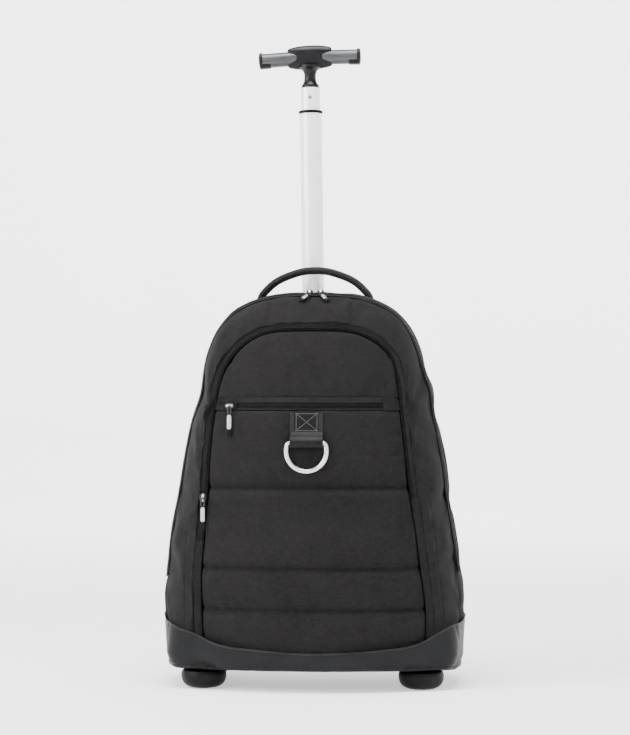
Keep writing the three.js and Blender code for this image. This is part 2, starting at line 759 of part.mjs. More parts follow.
// Front feet
const footProfile = [
  { out: 0, up: 0 },
  { out: footTread / footRadius, up: 0 },
  { out: 0.72, up: 0.12 },
  { out: 0.9, up: 0.36 },
  { out: 0.98, up: 0.7 },
  { out: 1, up: 1.5 },
  { out: 0, up: 1.5 },
];
const footGrow = bootGap + bootWall + gap;
const footRoom = [mainForm(footGrow), pocketForm(footGrow)];
for (const [side, way] of wheelSides) {
  const dome = turned(footProfile.map(({ out, up }) => [out * footRadius, up * groundGap]), 20);
  piece(`front_foot_${side}`, cut(dome.translate(way * footSpan / 2, -footDepth, 0), ...footRoom), "plastic");
}

// Wheels in their housings
const rimRadius = wheelRadius - tyreWall;
const wellRadius = wheelRadius + runningGap;
for (const [side, way] of wheelSides) {
  const place = new THREE.Group();
  place.position.set(wheelX(way), axleY, axleZ);
  bag.add(place);

  const drum = rod("x", housingRadius, housingWidth, 28);
  const well = rod("x", wellRadius, wellWidth, 28);
  const bore = rod("x", axleRadius + gap, housingWidth + 2, 16);
  const underneath = housingFloor - axleZ - housingRadius / 2;
  const under = box(housingWidth + 2, 3 * housingRadius, housingRadius, 0, 0, underneath);
  const backwards = housingRadius / 2 + housingBack;
  const behind = box(wellWidth, housingRadius, housingRadius, 0, backwards, -housingRadius / 6);
  piece(`wheel_housing_${side}`, cut(drum, well, bore, under, behind), "plastic", place);
  piece(`axle_${side}`, rod("x", axleRadius, housingWidth, 16), "steel", place);

  const face = wheelWidth / 2;
  const [edge, shoulderRadius] = [face - tyreEdgeAcross, wheelRadius - tyreEdgeIn];
  const tyre = turned([
    [rimRadius, -face], [shoulderRadius, -face], [wheelRadius, -edge],
    [wheelRadius, edge], [shoulderRadius, face], [rimRadius, face], [rimRadius, -face],
  ], 24).rotateY(Math.PI / 2);
  const [bare, boss, dish] = [axleRadius + gap, axleRadius + gap + hubBoss, face - hubDish];
  const rim = (rimRadius - gap) * Math.cos(Math.PI / 24);
  const hub = turned([
    [bare, -face], [boss, -face], [boss + 1, -dish], [rim, -dish], [rim, dish], [boss + 1, dish],
    [boss, face], [bare, face], [bare, -face],
  ], 20).rotateY(Math.PI / 2);
  piece(`tyre_${side}`, tyre, "rubber", place);
  piece(`wheel_hub_${side}`, hub, "plastic", place);
}

// Padded back with its two foam columns and the shoulder straps
const rearRing = bagOutline.map((point) => mainPoint(point, backToFront[0], -shellWall - gap));
const backPlate = flatPanel(rearRing, rearDepth - backPad, backPad);
piece("back_panel", cut(backPlate, ...housingRooms), "fabric");

function cushionPad(width, height, thick) {
  const sections = [
    { deep: 0, draw: 3 }, { deep: 0.35, draw: 0 }, { deep: 0.75, draw: 1.5 }, { deep: 1, draw: 7 },
  ];
  const corner = 14;
  const loops = sections.map(({ deep, draw }) => {
    const [half, tall] = [width / 2 - draw, height / 2 - draw];
    const loop = [];
    for (const [x, z, turn] of [[1, 1, 0], [-1, 1, 90], [-1, -1, 180], [1, -1, 270]]) {
      for (const angle of [0, 45, 90]) {
        const way = radians(turn + angle);
        const [cornerX, cornerZ] = [x * (half - corner), z * (tall - corner)];
        loop.push(at(cornerX + corner * Math.cos(way), deep * thick, cornerZ + corner * Math.sin(way)));
      }
    }
    return [...loop.slice(2), ...loop.slice(0, 2)];
  });
  return loft(loops);
}

const columnFace = rearDepth + gap;
for (const [side, way] of wheelSides) {
  const middle = way * (columnApart + columnWidth) / 2;
  const pad = cushionPad(columnWidth, columnHeight, columnPad);
  piece(`back_column_${side}`, pad.translate(middle, columnFace, columnLift + columnHeight / 2), "fabric");

  const lying = rearDepth + 4 * gap + strapPad / 2;
  const bowed = columnFace + columnPad + strapPad / 2 + strapBow;
  const shoulderStrap = strap(
    strapRoute.map(({ up, out, bow }) => (
      at(way * mix(strapTopOut, strapLockOut, out), mix(lying, bowed, bow), mix(lockTop, strapTop, up))
    )),
    10, strapWidth, strapPad, at(1, 0, 0),
  );

  const lockEnd = mix(lying, bowed, strapRoute[strapRoute.length - 1].bow);
  const lockSize = [webbingWidth + 2 * lockRim, lockThick, lockLength];
  const lockOut = strapLockOut + lockRim / 2;
  const lockAt = [way * lockOut, lockEnd, lockTop - lockLength / 2];
  const lockRoom = box(...lockSize.map((length) => length + 2 * gap), ...lockAt);
  const slots = [-1, 1].map((end) => (
    box(webbingWidth + 1, 3 * lockThick, lockSlot, lockAt[0], lockAt[1], lockAt[2] + end * lockLength / 4)
  ));
  const lock = cut(box(...lockSize, ...lockAt), ...slots);
  piece(`shoulder_strap_${side}`, cut(shoulderStrap, lockRoom), "fabric");
  piece(`ladder_lock_${side}`, lock, "plastic");
  const high = lockTop - lockLength + 1;
  const sewn = rearDepth + 3 * gap + webbingWall / 2;
  const webbing = strap(
    webbingRoute.map(({ out, up, off }) => (
      at(way * mix(lockOut, webbingFootOut, out), mix(sewn, lockEnd, off), mix(webbingFoot, high, up))
    )),
    6, webbingWidth, webbingWall, at(1, 0, 0),
  );
  piece(`strap_webbing_${side}`, cut(webbing, lockRoom), "webbing");
}

// Carry handle in front of the pole
const carryTop = crown + carryRise - carryThick;
const carryFoot = shellTop(carryDepth) - carryThick;
const carryPoint = (way) => ({ out, up }) => (
  at(way * out * (carrySpan - carryThick) / 2, carryDepth, mix(carryFoot, carryTop, up))
);
const carryPath = [...[...carryRoute].reverse().map(carryPoint(-1)), ...carryRoute.map(carryPoint(1))];
const carryLoop = strap(carryPath, 16, carryWidth, carryThick, at(0, 1, 0));
piece("carry_handle", cut(carryLoop, mainForm(gap)), "webbing");

// Port where the pole leaves the bag
const portRing = tube(portRadius + portRim, portRadius, portTop - portLength, portTop, 24);
piece("pole_port", cut(portRing.translate(leaning(portTop), poleDepth, 0), mainForm(gap)), "plastic");

// Pole: everything from here to the handle leans with it
const pole = new THREE.Group();
pole.position.set(0, poleDepth, poleCrossing);
pole.rotation.y = -radians(poleLean);
bag.add(pole);
const shaft = new THREE.Group();
shaft.position.z = -poleCrossing;
pole.add(shaft);

const outerBore = outerTubeRadius - tubeWall;
const midBore = midTubeRadius - tubeWall;
const midTubeBase = portTop - midTubeOverlap;
piece("outer_tube", tube(outerTubeRadius, outerBore, shellFloor + 2 * gap, portTop, 24), "tube", shaft);
piece("mid_tube", tube(midTubeRadius, midBore, midTubeBase, midTubeTop, 24), "tube", shaft);
const collar = tube(outerTubeRadius - slidingGap, midBore, midTubeTop + gap, midTubeTop + gap + collarHeight, 24);
piece("pole_collar", collar, "plastic", shaft);
const innerTubeBase = innerTubeTop - innerTubeLength;
const innerTube = tube(innerTubeRadius, innerTubeRadius - tubeWall, innerTubeBase, innerTubeTop, 24);
piece("inner_tube", innerTube, "tube", shaft);
const button = turned([[0, 0], [buttonRadius, 0], [buttonRadius * 0.8, 0.7], [0, 1]], 8).rotateX(Math.PI / 2);
piece("pole_button", button.translate(0, -innerTubeRadius - gap / 2, innerTubeTop - buttonDrop), "steel", shaft);

// Handle across the pole
const gripEnd = handleSpan / 2 - capLength - gap;
const gripProfile = [
  [0, gripStart], [gripNeck, gripStart], [gripRadius, gripStart + gripTaper], [gripRadius, gripEnd], [0, gripEnd],
];
const alongX = (geometry, way) => geometry.rotateY(way * Math.PI / 2).rotateY(way * radians(gripDroop));
const gripRoom = (way) => {
  const [start, neck, wide] = [gripStart - slidingGap, gripNeck + slidingGap, gripRadius + 1.3 * slidingGap];
  const full = gripStart + gripTaper - gap;
  const room = [[0, start], [neck, start], [wide, full], [wide, handleSpan / 2], [0, handleSpan / 2]];
  return alongX(turned(room, 16), way);
};

// The hub is an arched barrel, lower and thinner towards its ends, where the grips show through its front
const hubSections = [
  { side: 0, tall: 1, deep: 1 },
  { side: 0.45, tall: 0.965, deep: 0.93 },
  { side: 0.75, tall: 0.88, deep: 0.8 },
  { side: 0.95, tall: 0.78, deep: 0.67 },
  { side: 1, tall: 0.73, deep: 0.6 },
];
const hubLoop = (way) => ({ side, tall, deep }) => spread(0, 2 * Math.PI, 16).slice(0, -1).map((turn) => {
  const rounded = (value) => Math.sign(value) * Math.abs(value) ** 0.85;
  const [y, z] = [rounded(Math.cos(turn)) * deep * hubDepth / 2, rounded(Math.sin(turn)) * tall * hubHeight / 2];
  return at(way * side * hubWidth / 2, y, z);
});
const hubBlock = loft([
  ...hubSections.slice(1).reverse().map(hubLoop(-1)),
  ...hubSections.map(hubLoop(1)),
]);
const grooved = cut(hubBlock, gripRoom(-1), gripRoom(1)).rotateY(-radians(handleRoll));
const [stemBase, stemTop] = [innerTubeTop + gap - handleCentre, -hubHeight / 2 + 4];
const stemSide = stemProfile.map(({ out, up }) => [out * innerTubeRadius, mix(stemBase, stemTop, up)]);
const stem = turned([[0, stemBase], ...stemSide, [0, stemTop]], 16);
const handle = new THREE.Group();
handle.position.z = handleCentre;
shaft.add(handle);
piece("handle_hub", join(grooved, stem), "plastic", handle);

const capBase = handleSpan / 2 - capLength;
for (const [side, way] of wheelSides) {
  const roll = new THREE.Group();
  roll.rotation.y = -radians(handleRoll);
  handle.add(roll);
  piece(`grip_${side}`, alongX(turned(gripProfile, 16), way), "grip", roll);
  const capRadius = gripRadius + capFlange;
  const dome = turned([
    [0, capBase], [capRadius, capBase], [capRadius, capBase + capLength * 0.43],
    [capRadius - 1, capBase + capLength * 0.78], [gripRadius / 2, capBase + capLength], [0, capBase + capLength],
  ], 20);
  const lipRing = tube(capRadius - gap, gripRadius + gap, capBase - capLip, capBase + gap, 20);
  const lipRoom = box(gripRadius * 2, gripRadius * 1.5, 4 * capLip, way * (gripRadius + 4), 0, capBase);
  piece(`end_cap_${side}`, alongX(join(dome, common(lipRing, lipRoom)), way), "plastic", roll);
}

// Webbing patch with the ring that hangs from it
const patchTop = base + zipLow - 2;
const faceAt = (height) => {
  const up = (height - base - arcBase) / (arcShoulder - arcBase);
  return pocketDepth(ringShift / arcWidth * 2, up);
};
const ringZ = patchTop - patchLength - 5;
const loopRadius = ringWire / 2 + 3 * gap + patchWall / 2;
const ringY = faceAt(ringZ) - gap - patchWall / 2 - loopRadius;
const patchPath = [];
for (const share of [0, 0.35, 0.7]) {
  const height = patchTop - share * patchLength;
  patchPath.push(at(ringShift, faceAt(height) - 2 * gap - patchWall / 2, height));
}
for (const angle of [35, 0, -45, -90, -135, -180, -200]) {
  const way = radians(angle);
  patchPath.push(at(ringShift, ringY - loopRadius * Math.cos(way), ringZ + loopRadius * Math.sin(way)));
}
piece("ring_patch", strap(patchPath, 18, patchWidth, patchWall, at(1, 0, 0)), "webbing");

// The ring's middle line: a circle, flat where the patch's loop holds it
function ringOutline() {
  const [round, tall] = [(ringWidth - ringWire) / 2, ringHeight - ringWire];
  const flat = Math.asin((tall - round) / round);
  const shape = new THREE.Path();
  shape.absarc(0, round - tall, round, Math.PI - flat, 2 * Math.PI + flat);
  shape.closePath();
  return shape.getSpacedPoints(24).slice(0, -1);
}

const ringPoints = ringOutline();
const ringLoops = ringPoints.map((point, i) => {
  const before = ringPoints[(i + ringPoints.length - 1) % ringPoints.length];
  const after = ringPoints[(i + 1) % ringPoints.length];
  const along = new THREE.Vector2().subVectors(after, before).normalize();
  return spread(0, 2 * Math.PI, 8).slice(0, -1).map((turn) => {
    const [out, deep] = [Math.cos(turn) * ringWire / 2, Math.sin(turn) * ringWire / 2];
    return at(ringShift + point.x - along.y * out, ringY + deep, ringZ + point.y + along.x * out);
  });
});
piece("d_ring", loft(ringLoops, true), "steel");

// The origin lies under the middle of the depth, from the webbing loop to the bow of the shoulder straps
const frontReach = ringY - loopRadius - patchWall / 2;
const rearReach = columnFace + columnPad + strapPad + strapBow;
bag.position.y = -(frontReach + rearReach) / 2;

export default group;
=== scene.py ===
from math import asin, cos, pi, radians, sin

import bpy
import numpy as np
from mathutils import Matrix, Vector, noise
from mathutils.bvhtree import BVHTree


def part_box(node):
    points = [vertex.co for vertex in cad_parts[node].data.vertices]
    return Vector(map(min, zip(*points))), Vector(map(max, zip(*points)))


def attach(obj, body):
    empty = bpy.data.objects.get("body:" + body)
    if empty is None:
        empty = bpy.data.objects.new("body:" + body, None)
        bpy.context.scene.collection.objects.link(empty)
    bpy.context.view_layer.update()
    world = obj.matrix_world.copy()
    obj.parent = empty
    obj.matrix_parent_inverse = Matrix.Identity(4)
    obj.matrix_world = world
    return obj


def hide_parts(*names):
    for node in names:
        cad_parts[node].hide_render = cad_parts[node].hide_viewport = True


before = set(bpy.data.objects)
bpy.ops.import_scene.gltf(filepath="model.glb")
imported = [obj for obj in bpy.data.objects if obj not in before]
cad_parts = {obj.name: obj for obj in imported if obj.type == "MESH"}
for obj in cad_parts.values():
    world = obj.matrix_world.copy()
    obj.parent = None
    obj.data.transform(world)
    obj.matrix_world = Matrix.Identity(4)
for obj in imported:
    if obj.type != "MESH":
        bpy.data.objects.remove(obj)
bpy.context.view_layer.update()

# All sizes below are in millimetres. Depths are measured from the bag's widest outline, forward is negative
MM = 0.001
REAR_DEPTH = 82
FRONT_DEPTH = -30
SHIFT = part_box("back_panel")[1].y / MM - REAR_DEPTH


# Camera, a little to the right of the bag's front and level with its upper third

CAMERA_AZIMUTH = radians(3.5)
CAMERA_DISTANCE = 2.5
CAMERA_HEIGHT = 0.33
VIEW_HEIGHT = 0.3774
VIEW_TALL = 0.882


def set_camera():
    camera = bpy.data.cameras.new("camera")
    camera.lens = camera.sensor_width / VIEW_TALL * CAMERA_DISTANCE
    stand = bpy.data.objects.new("camera", camera)
    bpy.context.scene.collection.objects.link(stand)
    bpy.context.scene.camera = stand
    turn = Vector((sin(CAMERA_AZIMUTH), -cos(CAMERA_AZIMUTH), 0))
    stand.location = turn * CAMERA_DISTANCE + Vector((0.0006, SHIFT * MM, CAMERA_HEIGHT))
    aim = Vector((0.0006, SHIFT * MM, VIEW_HEIGHT)) - stand.location
    stand.rotation_euler = aim.to_track_quat("-Z", "Y").to_euler()


set_camera()


# Materials

class Signal:
    """A socket of a material's nodes. Sums on it add Math nodes."""

    def __init__(self, finish, socket):
        self.finish = finish
        self.socket = socket

    def _math(self, operation, first, second):
        return self.finish.add("ShaderNodeMath", {"operation": operation}, {0: first, 1: second})

    def __add__(self, other):
        return self._math("ADD", self, other)

    def __radd__(self, other):
        return self._math("ADD", other, self)

    def __sub__(self, other):
        return self._math("SUBTRACT", self, other)

    def __rsub__(self, other):
        return self._math("SUBTRACT", other, self)

    def __mul__(self, other):
        return self._math("MULTIPLY", self, other)

    def __rmul__(self, other):
        return self._math("MULTIPLY", other, self)

    def above(self, level):
        return self._math("GREATER_THAN", self, level)


class Finish:
    """A material and its nodes. Constants go on the shader's own sockets."""

    def __init__(self, name, **constants):
        self.material = bpy.data.materials.new(name)
        self.material.use_nodes = True
        self.nodes = self.material.node_tree.nodes
        self.shader = next(node for node in self.nodes if node.type == "BSDF_PRINCIPLED")
        for socket, value in constants.items():
            self.shader.inputs[socket.replace("_", " ")].default_value = value

    def add(self, kind, settings=None, inputs=None, output=0):
        node = self.nodes.new(kind)
        for name, value in (settings or {}).items():
            if name == "stops":
                self.set_stops(node.color_ramp, value)
            else:
                setattr(node, name, value)
        for name, value in (inputs or {}).items():
            self.feed(node.inputs[name], value)
        return Signal(self, node.outputs[output])

    def set_stops(self, ramp, stops):
        while len(ramp.elements) < len(stops):
            ramp.elements.new(0.5)
        for element, (place, colour) in zip(ramp.elements, stops):
            element.position = place
            element.color = (*colour, 1)

    def feed(self, socket, value):
        if isinstance(value, Signal):
            self.material.node_tree.links.new(value.socket, socket)
        elif isinstance(value, tuple) and len(value) == 3 and socket.type == "RGBA":
            socket.default_value = (*value, 1)
        else:
            socket.default_value = value

    def place(self, stretch=(1, 1, 1), turn=(0, 0, 0)):
        here = self.add("ShaderNodeTexCoord", output="Object")
        return self.add("ShaderNodeMapping", {}, {"Vector": here, "Scale": stretch, "Rotation": turn})

    def grain(self, scale, detail=2, roughness=0.5, stretch=(1, 1, 1), turn=(0, 0, 0)):
        inputs = {"Vector": self.place(stretch, turn), "Scale": scale, "Detail": detail, "Roughness": roughness}
        return self.add("ShaderNodeTexNoise", {}, inputs)

    def ribs(self, across, pitch, distortion=0.0):
        """Even ribs along one axis, a pitch apart in metres"""
        inputs = {"Vector": self.place(), "Scale": pi / (10 * pitch), "Distortion": distortion}
        return self.add("ShaderNodeTexWave", {"bands_direction": across}, inputs)

    def blend(self, share, low, high):
        settings = {"data_type": "RGBA"}
        return self.add("ShaderNodeMix", settings, {"Factor": share, "A": low, "B": high}, output=2)

    def spread(self, signal, low, high):
        """The signal's middle range stretched to 0 and 1"""
        inputs = {"Value": signal, "From Min": low, "From Max": high}
        return self.add("ShaderNodeMapRange", {"clamp": True}, inputs)

    def paint(self, **sockets):
        for socket, value in sockets.items():
            self.feed(self.shader.inputs[socket.replace("_", " ")], value)
        return self

    def relief(self, height, depth):
        inputs = {"Height": height, "Distance": depth, "Strength": 1.0}
        return self.paint(Normal=self.add("ShaderNodeBump", {}, inputs))


def melange_cloth(name, dark, light, thread=0.0008):
    """Charcoal cloth woven from yarns of mixed greys"""
    cloth = Finish(name, Sheen_Weight=0.02, Sheen_Roughness=0.5, Specular_IOR_Level=0.1)
    warp = cloth.grain(900, 3, 0.6, stretch=(1, 1, 0.16))
    weft = cloth.grain(900, 3, 0.6, stretch=(0.16, 0.16, 1))
    yarns = cloth.spread(warp * 0.5 + weft * 0.5, 0.36, 0.66)
    cloudy = cloth.spread(cloth.grain(22, 3, 0.6), 0.3, 0.7)
    weave = cloth.ribs("X", thread) * cloth.ribs("Z", thread)
    cloth.paint(Base_Color=cloth.blend(yarns * 0.8 + cloudy * 0.2, dark, light))
    cloth.paint(Roughness=0.82 + yarns * 0.12)
    return cloth.relief(weave * 0.6 + yarns, 0.00022).material


def coated_cloth(name, dark, light):
    """Smooth coated cloth with a faint grain and soft scuffs"""
    coat = Finish(name, Specular_IOR_Level=0.12)
    pebble = coat.add("ShaderNodeTexVoronoi", {}, {"Vector": coat.place(), "Scale": 900.0})
    scuffs = coat.spread(coat.grain(35, 4, 0.65, stretch=(0.5, 1, 1)), 0.42, 0.75)
    coat.paint(Base_Color=coat.blend(scuffs, dark, light), Roughness=0.42 + scuffs * 0.16)
    return coat.relief(pebble * 0.5 + coat.grain(260, 2), 0.00016).material


def webbing_cloth(name, dark, light, across="X", pitch=0.0022):
    """Ribbed webbing"""
    band = Finish(name, Specular_IOR_Level=0.15, Sheen_Weight=0.02)
    rib = band.ribs(across, pitch, 0.4)
    yarns = band.spread(band.grain(1100, 2, 0.5), 0.3, 0.7)
    band.paint(Base_Color=band.blend(rib * 0.5 + yarns * 0.5, dark, light), Roughness=0.6 + yarns * 0.2)
    return band.relief(rib + yarns * 0.4, 0.0003).material


def mesh_cloth(name, dark, light):
    """Spacer mesh with small holes"""
    net = Finish(name, Specular_IOR_Level=0.15, Sheen_Weight=0.03)
    cells = net.add("ShaderNodeTexVoronoi", {}, {"Vector": net.place((1, 1, 0.7)), "Scale": 420.0})
    holes = net.spread(cells, 0.2, 0.55)
    net.paint(Base_Color=net.blend(holes, dark, light), Roughness=0.75 + holes * 0.2)
    return net.relief(holes, 0.0006).material


def moulded(name, dark, light, rough, grain_depth=0.00005, shine=0.35):
    """Moulded plastic with a fine spark grain"""
    plastic = Finish(name, Specular_IOR_Level=shine)
    spark = plastic.grain(1400, 2, 0.5)
    wear = plastic.spread(plastic.grain(60, 4, 0.7), 0.5, 0.8)
    plastic.paint(Base_Color=plastic.blend(wear, dark, light), Roughness=rough + wear * 0.12)
    return plastic.relief(spark, grain_depth).material


def drawn_metal(name, dark, light, rough, along=(1, 1, 0.02), metallic=1.0, line_depth=0.00002):
    """Metal with fine lines along the way it was drawn or brushed"""
    metal = Finish(name, Metallic=metallic)
    lines = metal.spread(metal.grain(1500, 3, 0.6, stretch=along), 0.3, 0.7)
    smudge = metal.spread(metal.grain(30, 3, 0.6), 0.35, 0.7)
    metal.paint(Base_Color=metal.blend(lines * 0.6 + smudge * 0.4, dark, light))
    metal.paint(Roughness=rough + lines * 0.08 + smudge * 0.06)
    return metal.relief(lines, line_depth).material


def tyre_rubber(name):
    rubber = Finish(name, Specular_IOR_Level=0.3)
    dust = rubber.spread(rubber.grain(90, 4, 0.7), 0.45, 0.75)
    rubber.paint(Base_Color=rubber.blend(dust, (0.010, 0.010, 0.010), (0.03, 0.029, 0.027)))
    rubber.paint(Roughness=0.75 + dust * 0.2)
    return rubber.relief(rubber.grain(500, 3), 0.0001).material


CLOTH = melange_cloth("melange_cloth", (0.0038, 0.0036, 0.0035), (0.0142, 0.0134, 0.0132))
LINING = melange_cloth("gusset_cloth", (0.0028, 0.0026, 0.0027), (0.0102, 0.0096, 0.0098))
COATED = coated_cloth("coated_cloth", (0.0052, 0.0054, 0.0063), (0.0090, 0.0093, 0.0107))
PIPING = coated_cloth("piping_cloth", (0.012, 0.012, 0.013), (0.026, 0.0255, 0.026))
PATCH = coated_cloth("patch_cloth", (0.0035, 0.0035, 0.004), (0.008, 0.008, 0.0085))
TAPE = webbing_cloth("zip_tape", (0.0024, 0.0024, 0.0025), (0.0075, 0.0073, 0.0074), "Z", 0.0009)
COIL = moulded("zip_coil", (0.002, 0.002, 0.002), (0.005, 0.005, 0.005), 0.4, shine=0.15)
WEBBING = webbing_cloth("webbing", (0.0050, 0.0049, 0.0050), (0.017, 0.0165, 0.0168))
THREAD = moulded("thread", (0.006, 0.006, 0.006), (0.014, 0.014, 0.014), 0.6, shine=0.1)
PALE_THREAD = moulded("pale_thread", (0.070, 0.070, 0.072), (0.110, 0.110, 0.112), 0.6, shine=0.15)
SPACER = mesh_cloth("spacer_mesh", (0.003, 0.003, 0.003), (0.016, 0.016, 0.0165))
PLASTIC = moulded("black_plastic", (0.0015, 0.0015, 0.0018), (0.0045, 0.0045, 0.005), 0.45, shine=0.12)
GLOSSY = moulded("handle_plastic", (0.002, 0.002, 0.003), (0.005, 0.005, 0.0062), 0.32, 0.000006, 0.2)
RUBBER = tyre_rubber("tyre_rubber")
# Pole aluminium is only half metallic, so its near-white colour also shows as diffuse white: the metal's own colour
# plus painted reflection of the bright studio
ALUMINIUM_WITH_PAINTED_SHINE = drawn_metal("pole_aluminium", (0.86, 0.86, 0.875), (0.95, 0.95, 0.96), 0.34, metallic=0.55)
GRIP_GREY = drawn_metal("grip_grey", (0.060, 0.061, 0.064), (0.10, 0.102, 0.107), 0.36, (0.02, 1, 1))
NICKEL = drawn_metal("zip_nickel", (0.42, 0.42, 0.43), (0.62, 0.62, 0.62), 0.3)
DARK_METAL = drawn_metal("dark_zip_metal", (0.035, 0.035, 0.036), (0.07, 0.07, 0.072), 0.38)
RING_STEEL = drawn_metal("ring_steel", (0.62, 0.62, 0.61), (0.76, 0.76, 0.75), 0.24, (0.3, 0.3, 0.3), 1.0, 0.000004)
STEEL = drawn_metal("plain_steel", (0.16, 0.14, 0.12), (0.26, 0.23, 0.20), 0.35)


# Meshes

def mix(a, b, share):
    return a + (b - a) * share


def ramp(value):
    value = np.clip(value, 0, 1)
    return value * value * (3 - 2 * value)


def column(rows, by, name):
    """A smooth curve through one column of a table"""
    xs = np.array([row[by] for row in rows], float)
    ys = np.array([row[name] for row in rows], float)
    slopes = np.gradient(ys, xs)

    def read(x):
        x = np.clip(x, xs[0], xs[-1])
        i = np.clip(np.searchsorted(xs, x) - 1, 0, len(xs) - 2)
        step = xs[i + 1] - xs[i]
        t = (x - xs[i]) / step
        value = (2 * t**3 - 3 * t**2 + 1) * ys[i] + (3 * t**2 - 2 * t**3) * ys[i + 1]
        return value + step * ((t**3 - 2 * t**2 + t) * slopes[i] + (t**3 - t**2) * slopes[i + 1])

    return read


class Shape:
    """Points in millimetres with their faces, gathered before they become one piece"""

    def __init__(self):
        self.points = []
        self.faces = []
        self.count = 0

    def add(self, points, faces):
        points = np.asarray(points, float).reshape(-1, 3)
        self.faces += [tuple(i + self.count for i in face) for face in faces]
        self.points.append(points)
        self.count += len(points)
        return self

    def moved(self, change):
        self.points = [change(points) for points in self.points]
        return self

    def mesh_object(self, name, finish, crease=40):
        points = np.concatenate(self.points) + np.array([0, SHIFT, 0])
        mesh = bpy.data.meshes.new(name)
        mesh.from_pydata((points * MM).tolist(), [], self.faces)
        mesh.validate()
        mesh.shade_smooth()
        mesh.set_sharp_from_angle(angle=radians(crease))
        mesh.materials.append(finish)
        made = bpy.data.objects.new(name, mesh)
        bpy.context.scene.collection.objects.link(made)
        return made


def settle(made):
    """Applies every modifier"""
    graph = bpy.context.evaluated_depsgraph_get()
    mesh = bpy.data.meshes.new_from_object(made.evaluated_get(graph))
    made.modifiers.clear()
    old = made.data
    made.data = mesh
    bpy.data.meshes.remove(old)
    return made


def rounded(made, width, segments=2):
    """Rounds the sharp edges by a width in millimetres"""
    bevel = made.modifiers.new("bevel", "BEVEL")
    bevel.width = width * MM
    bevel.segments = segments
    bevel.limit_method = "ANGLE"
    bevel.angle_limit = radians(50)
    settle(made)
    made.data.set_sharp_from_angle(angle=radians(60))
    return made


def carved(made, *tools):
    """Cuts other objects out of one"""
    for tool in tools:
        cutter = made.modifiers.new("cut", "BOOLEAN")
        cutter.operation = "DIFFERENCE"
        cutter.solver = "EXACT"
        cutter.object = tool
        settle(made)
    made.data.set_sharp_from_angle(angle=radians(40))
    return made


def discard(*made):
    for thing in made:
        bpy.data.objects.remove(thing)


def piece(made, slot, body="bag", stands_for=()):
    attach(made, body)
    if stands_for:
        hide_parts(*stands_for)
    return made


def loft(loops, closed=False):
    """Quads through loops of equally many points, with flat ends unless it closes on itself"""
    loops = np.asarray(loops, float)
    rows, size = loops.shape[:2]
    faces = []
    for i in range(rows if closed else rows - 1):
        here, after = i * size, (i + 1) % rows * size
        faces += [(here + j, after + j, after + (j + 1) % size, here + (j + 1) % size) for j in range(size)]
    if not closed:
        faces.append(tuple(range(size)))
        faces.append(tuple(range((rows - 1) * size, rows * size))[::-1])
    return loops.reshape(-1, 3), faces


def sheet_normals(grid, closed):
    down = np.gradient(grid, axis=0)
    if closed:
        across = np.roll(grid, -1, 1) - np.roll(grid, 1, 1)
    else:
        across = np.gradient(grid, axis=1)
    normals = np.cross(down, across)
    normals /= np.maximum(np.linalg.norm(normals, axis=2, keepdims=True), 1e-9)
    outwards = grid - np.array([0, 20, 240])
    return normals * np.sign((normals * outwards).sum())


def slab(grid, thick, closed=False):
    """A wall of one thickness behind a grid of points. A closed one wraps round along its columns"""
    rows, size = grid.shape[:2]
    back = grid - sheet_normals(grid, closed) * thick
    total = rows * size
    faces = []
    for i in range(rows - 1):
        for j in range(size if closed else size - 1):
            k = (j + 1) % size
            quad = (i * size + j, (i + 1) * size + j, (i + 1) * size + k, i * size + k)
            faces.append(quad)
            faces.append(tuple(total + index for index in quad[::-1]))
    rim = [(j, (j + 1) % size) for j in range(size if closed else size - 1)]
    rim += [((rows - 1) * size + b, (rows - 1) * size + a) for a, b in rim]
    if not closed:
        rim += [((i + 1) * size, i * size) for i in range(rows - 1)]
        rim += [(i * size + size - 1, (i + 1) * size + size - 1) for i in range(rows - 1)]
    faces += [(a, b, total + b, total + a) for a, b in rim]
    return np.concatenate([grid.reshape(-1, 3), back.reshape(-1, 3)]), faces


def along_line(line, sideways, closed=False):
    """Tangent, side and face directions at each point of a line"""
    line = np.asarray(line, float)
    if closed:
        run = np.roll(line, -1, 0) - np.roll(line, 1, 0)
    else:
        run = np.gradient(line, axis=0)
    run /= np.linalg.norm(run, axis=1, keepdims=True)
    side = np.broadcast_to(np.asarray(sideways, float), line.shape)
    side = side - run * (side * run).sum(1, keepdims=True)
    side /= np.linalg.norm(side, axis=1, keepdims=True)
    return run, side, np.cross(run, side)


def swept(line, profile, sideways=(0, 1, 0), closed=False, widths=None):
    """A profile of side and face offsets, swept along a line"""
    line = np.asarray(line, float)
    _, side, face = along_line(line, sideways, closed)
    profile = np.asarray(profile, float)
    scale = np.ones(len(line)) if widths is None else np.asarray(widths, float)
    loops = [
        point + scale[i] * (profile[:, :1] * side[i] + profile[:, 1:] * face[i])
        for i, point in enumerate(line)
    ]
    return loft(loops, closed)


def circle(radius, sides=10):
    return [(radius * cos(2 * pi * i / sides), radius * sin(2 * pi * i / sides)) for i in range(sides)]


def flat_band(width, thick, edge=0.5):
    """The section of a strap with rounded edges"""
    half, deep = width / 2, thick / 2
    corner = min(deep, half) * edge
    points = []
    for x, y, start in ((1, 1, 0), (-1, 1, 90), (-1, -1, 180), (1, -1, 270)):
        for angle in (0, 30, 60, 90):
            way = radians(start + angle)
            points.append((x * (half - corner) + corner * cos(way), y * (deep - corner) + corner * sin(way)))
    return points


def turned(profile, sides=64):
    """A solid turned about Z from pairs of radius and height. A profile that starts and ends alike makes a ring"""
    ring = profile[0] == profile[-1]
    rows = profile[:-1] if ring else profile
    loops = [[(r * cos(2 * pi * i / sides), r * sin(2 * pi * i / sides), z) for i in range(sides)] for r, z in rows]
    return loft(loops, ring)


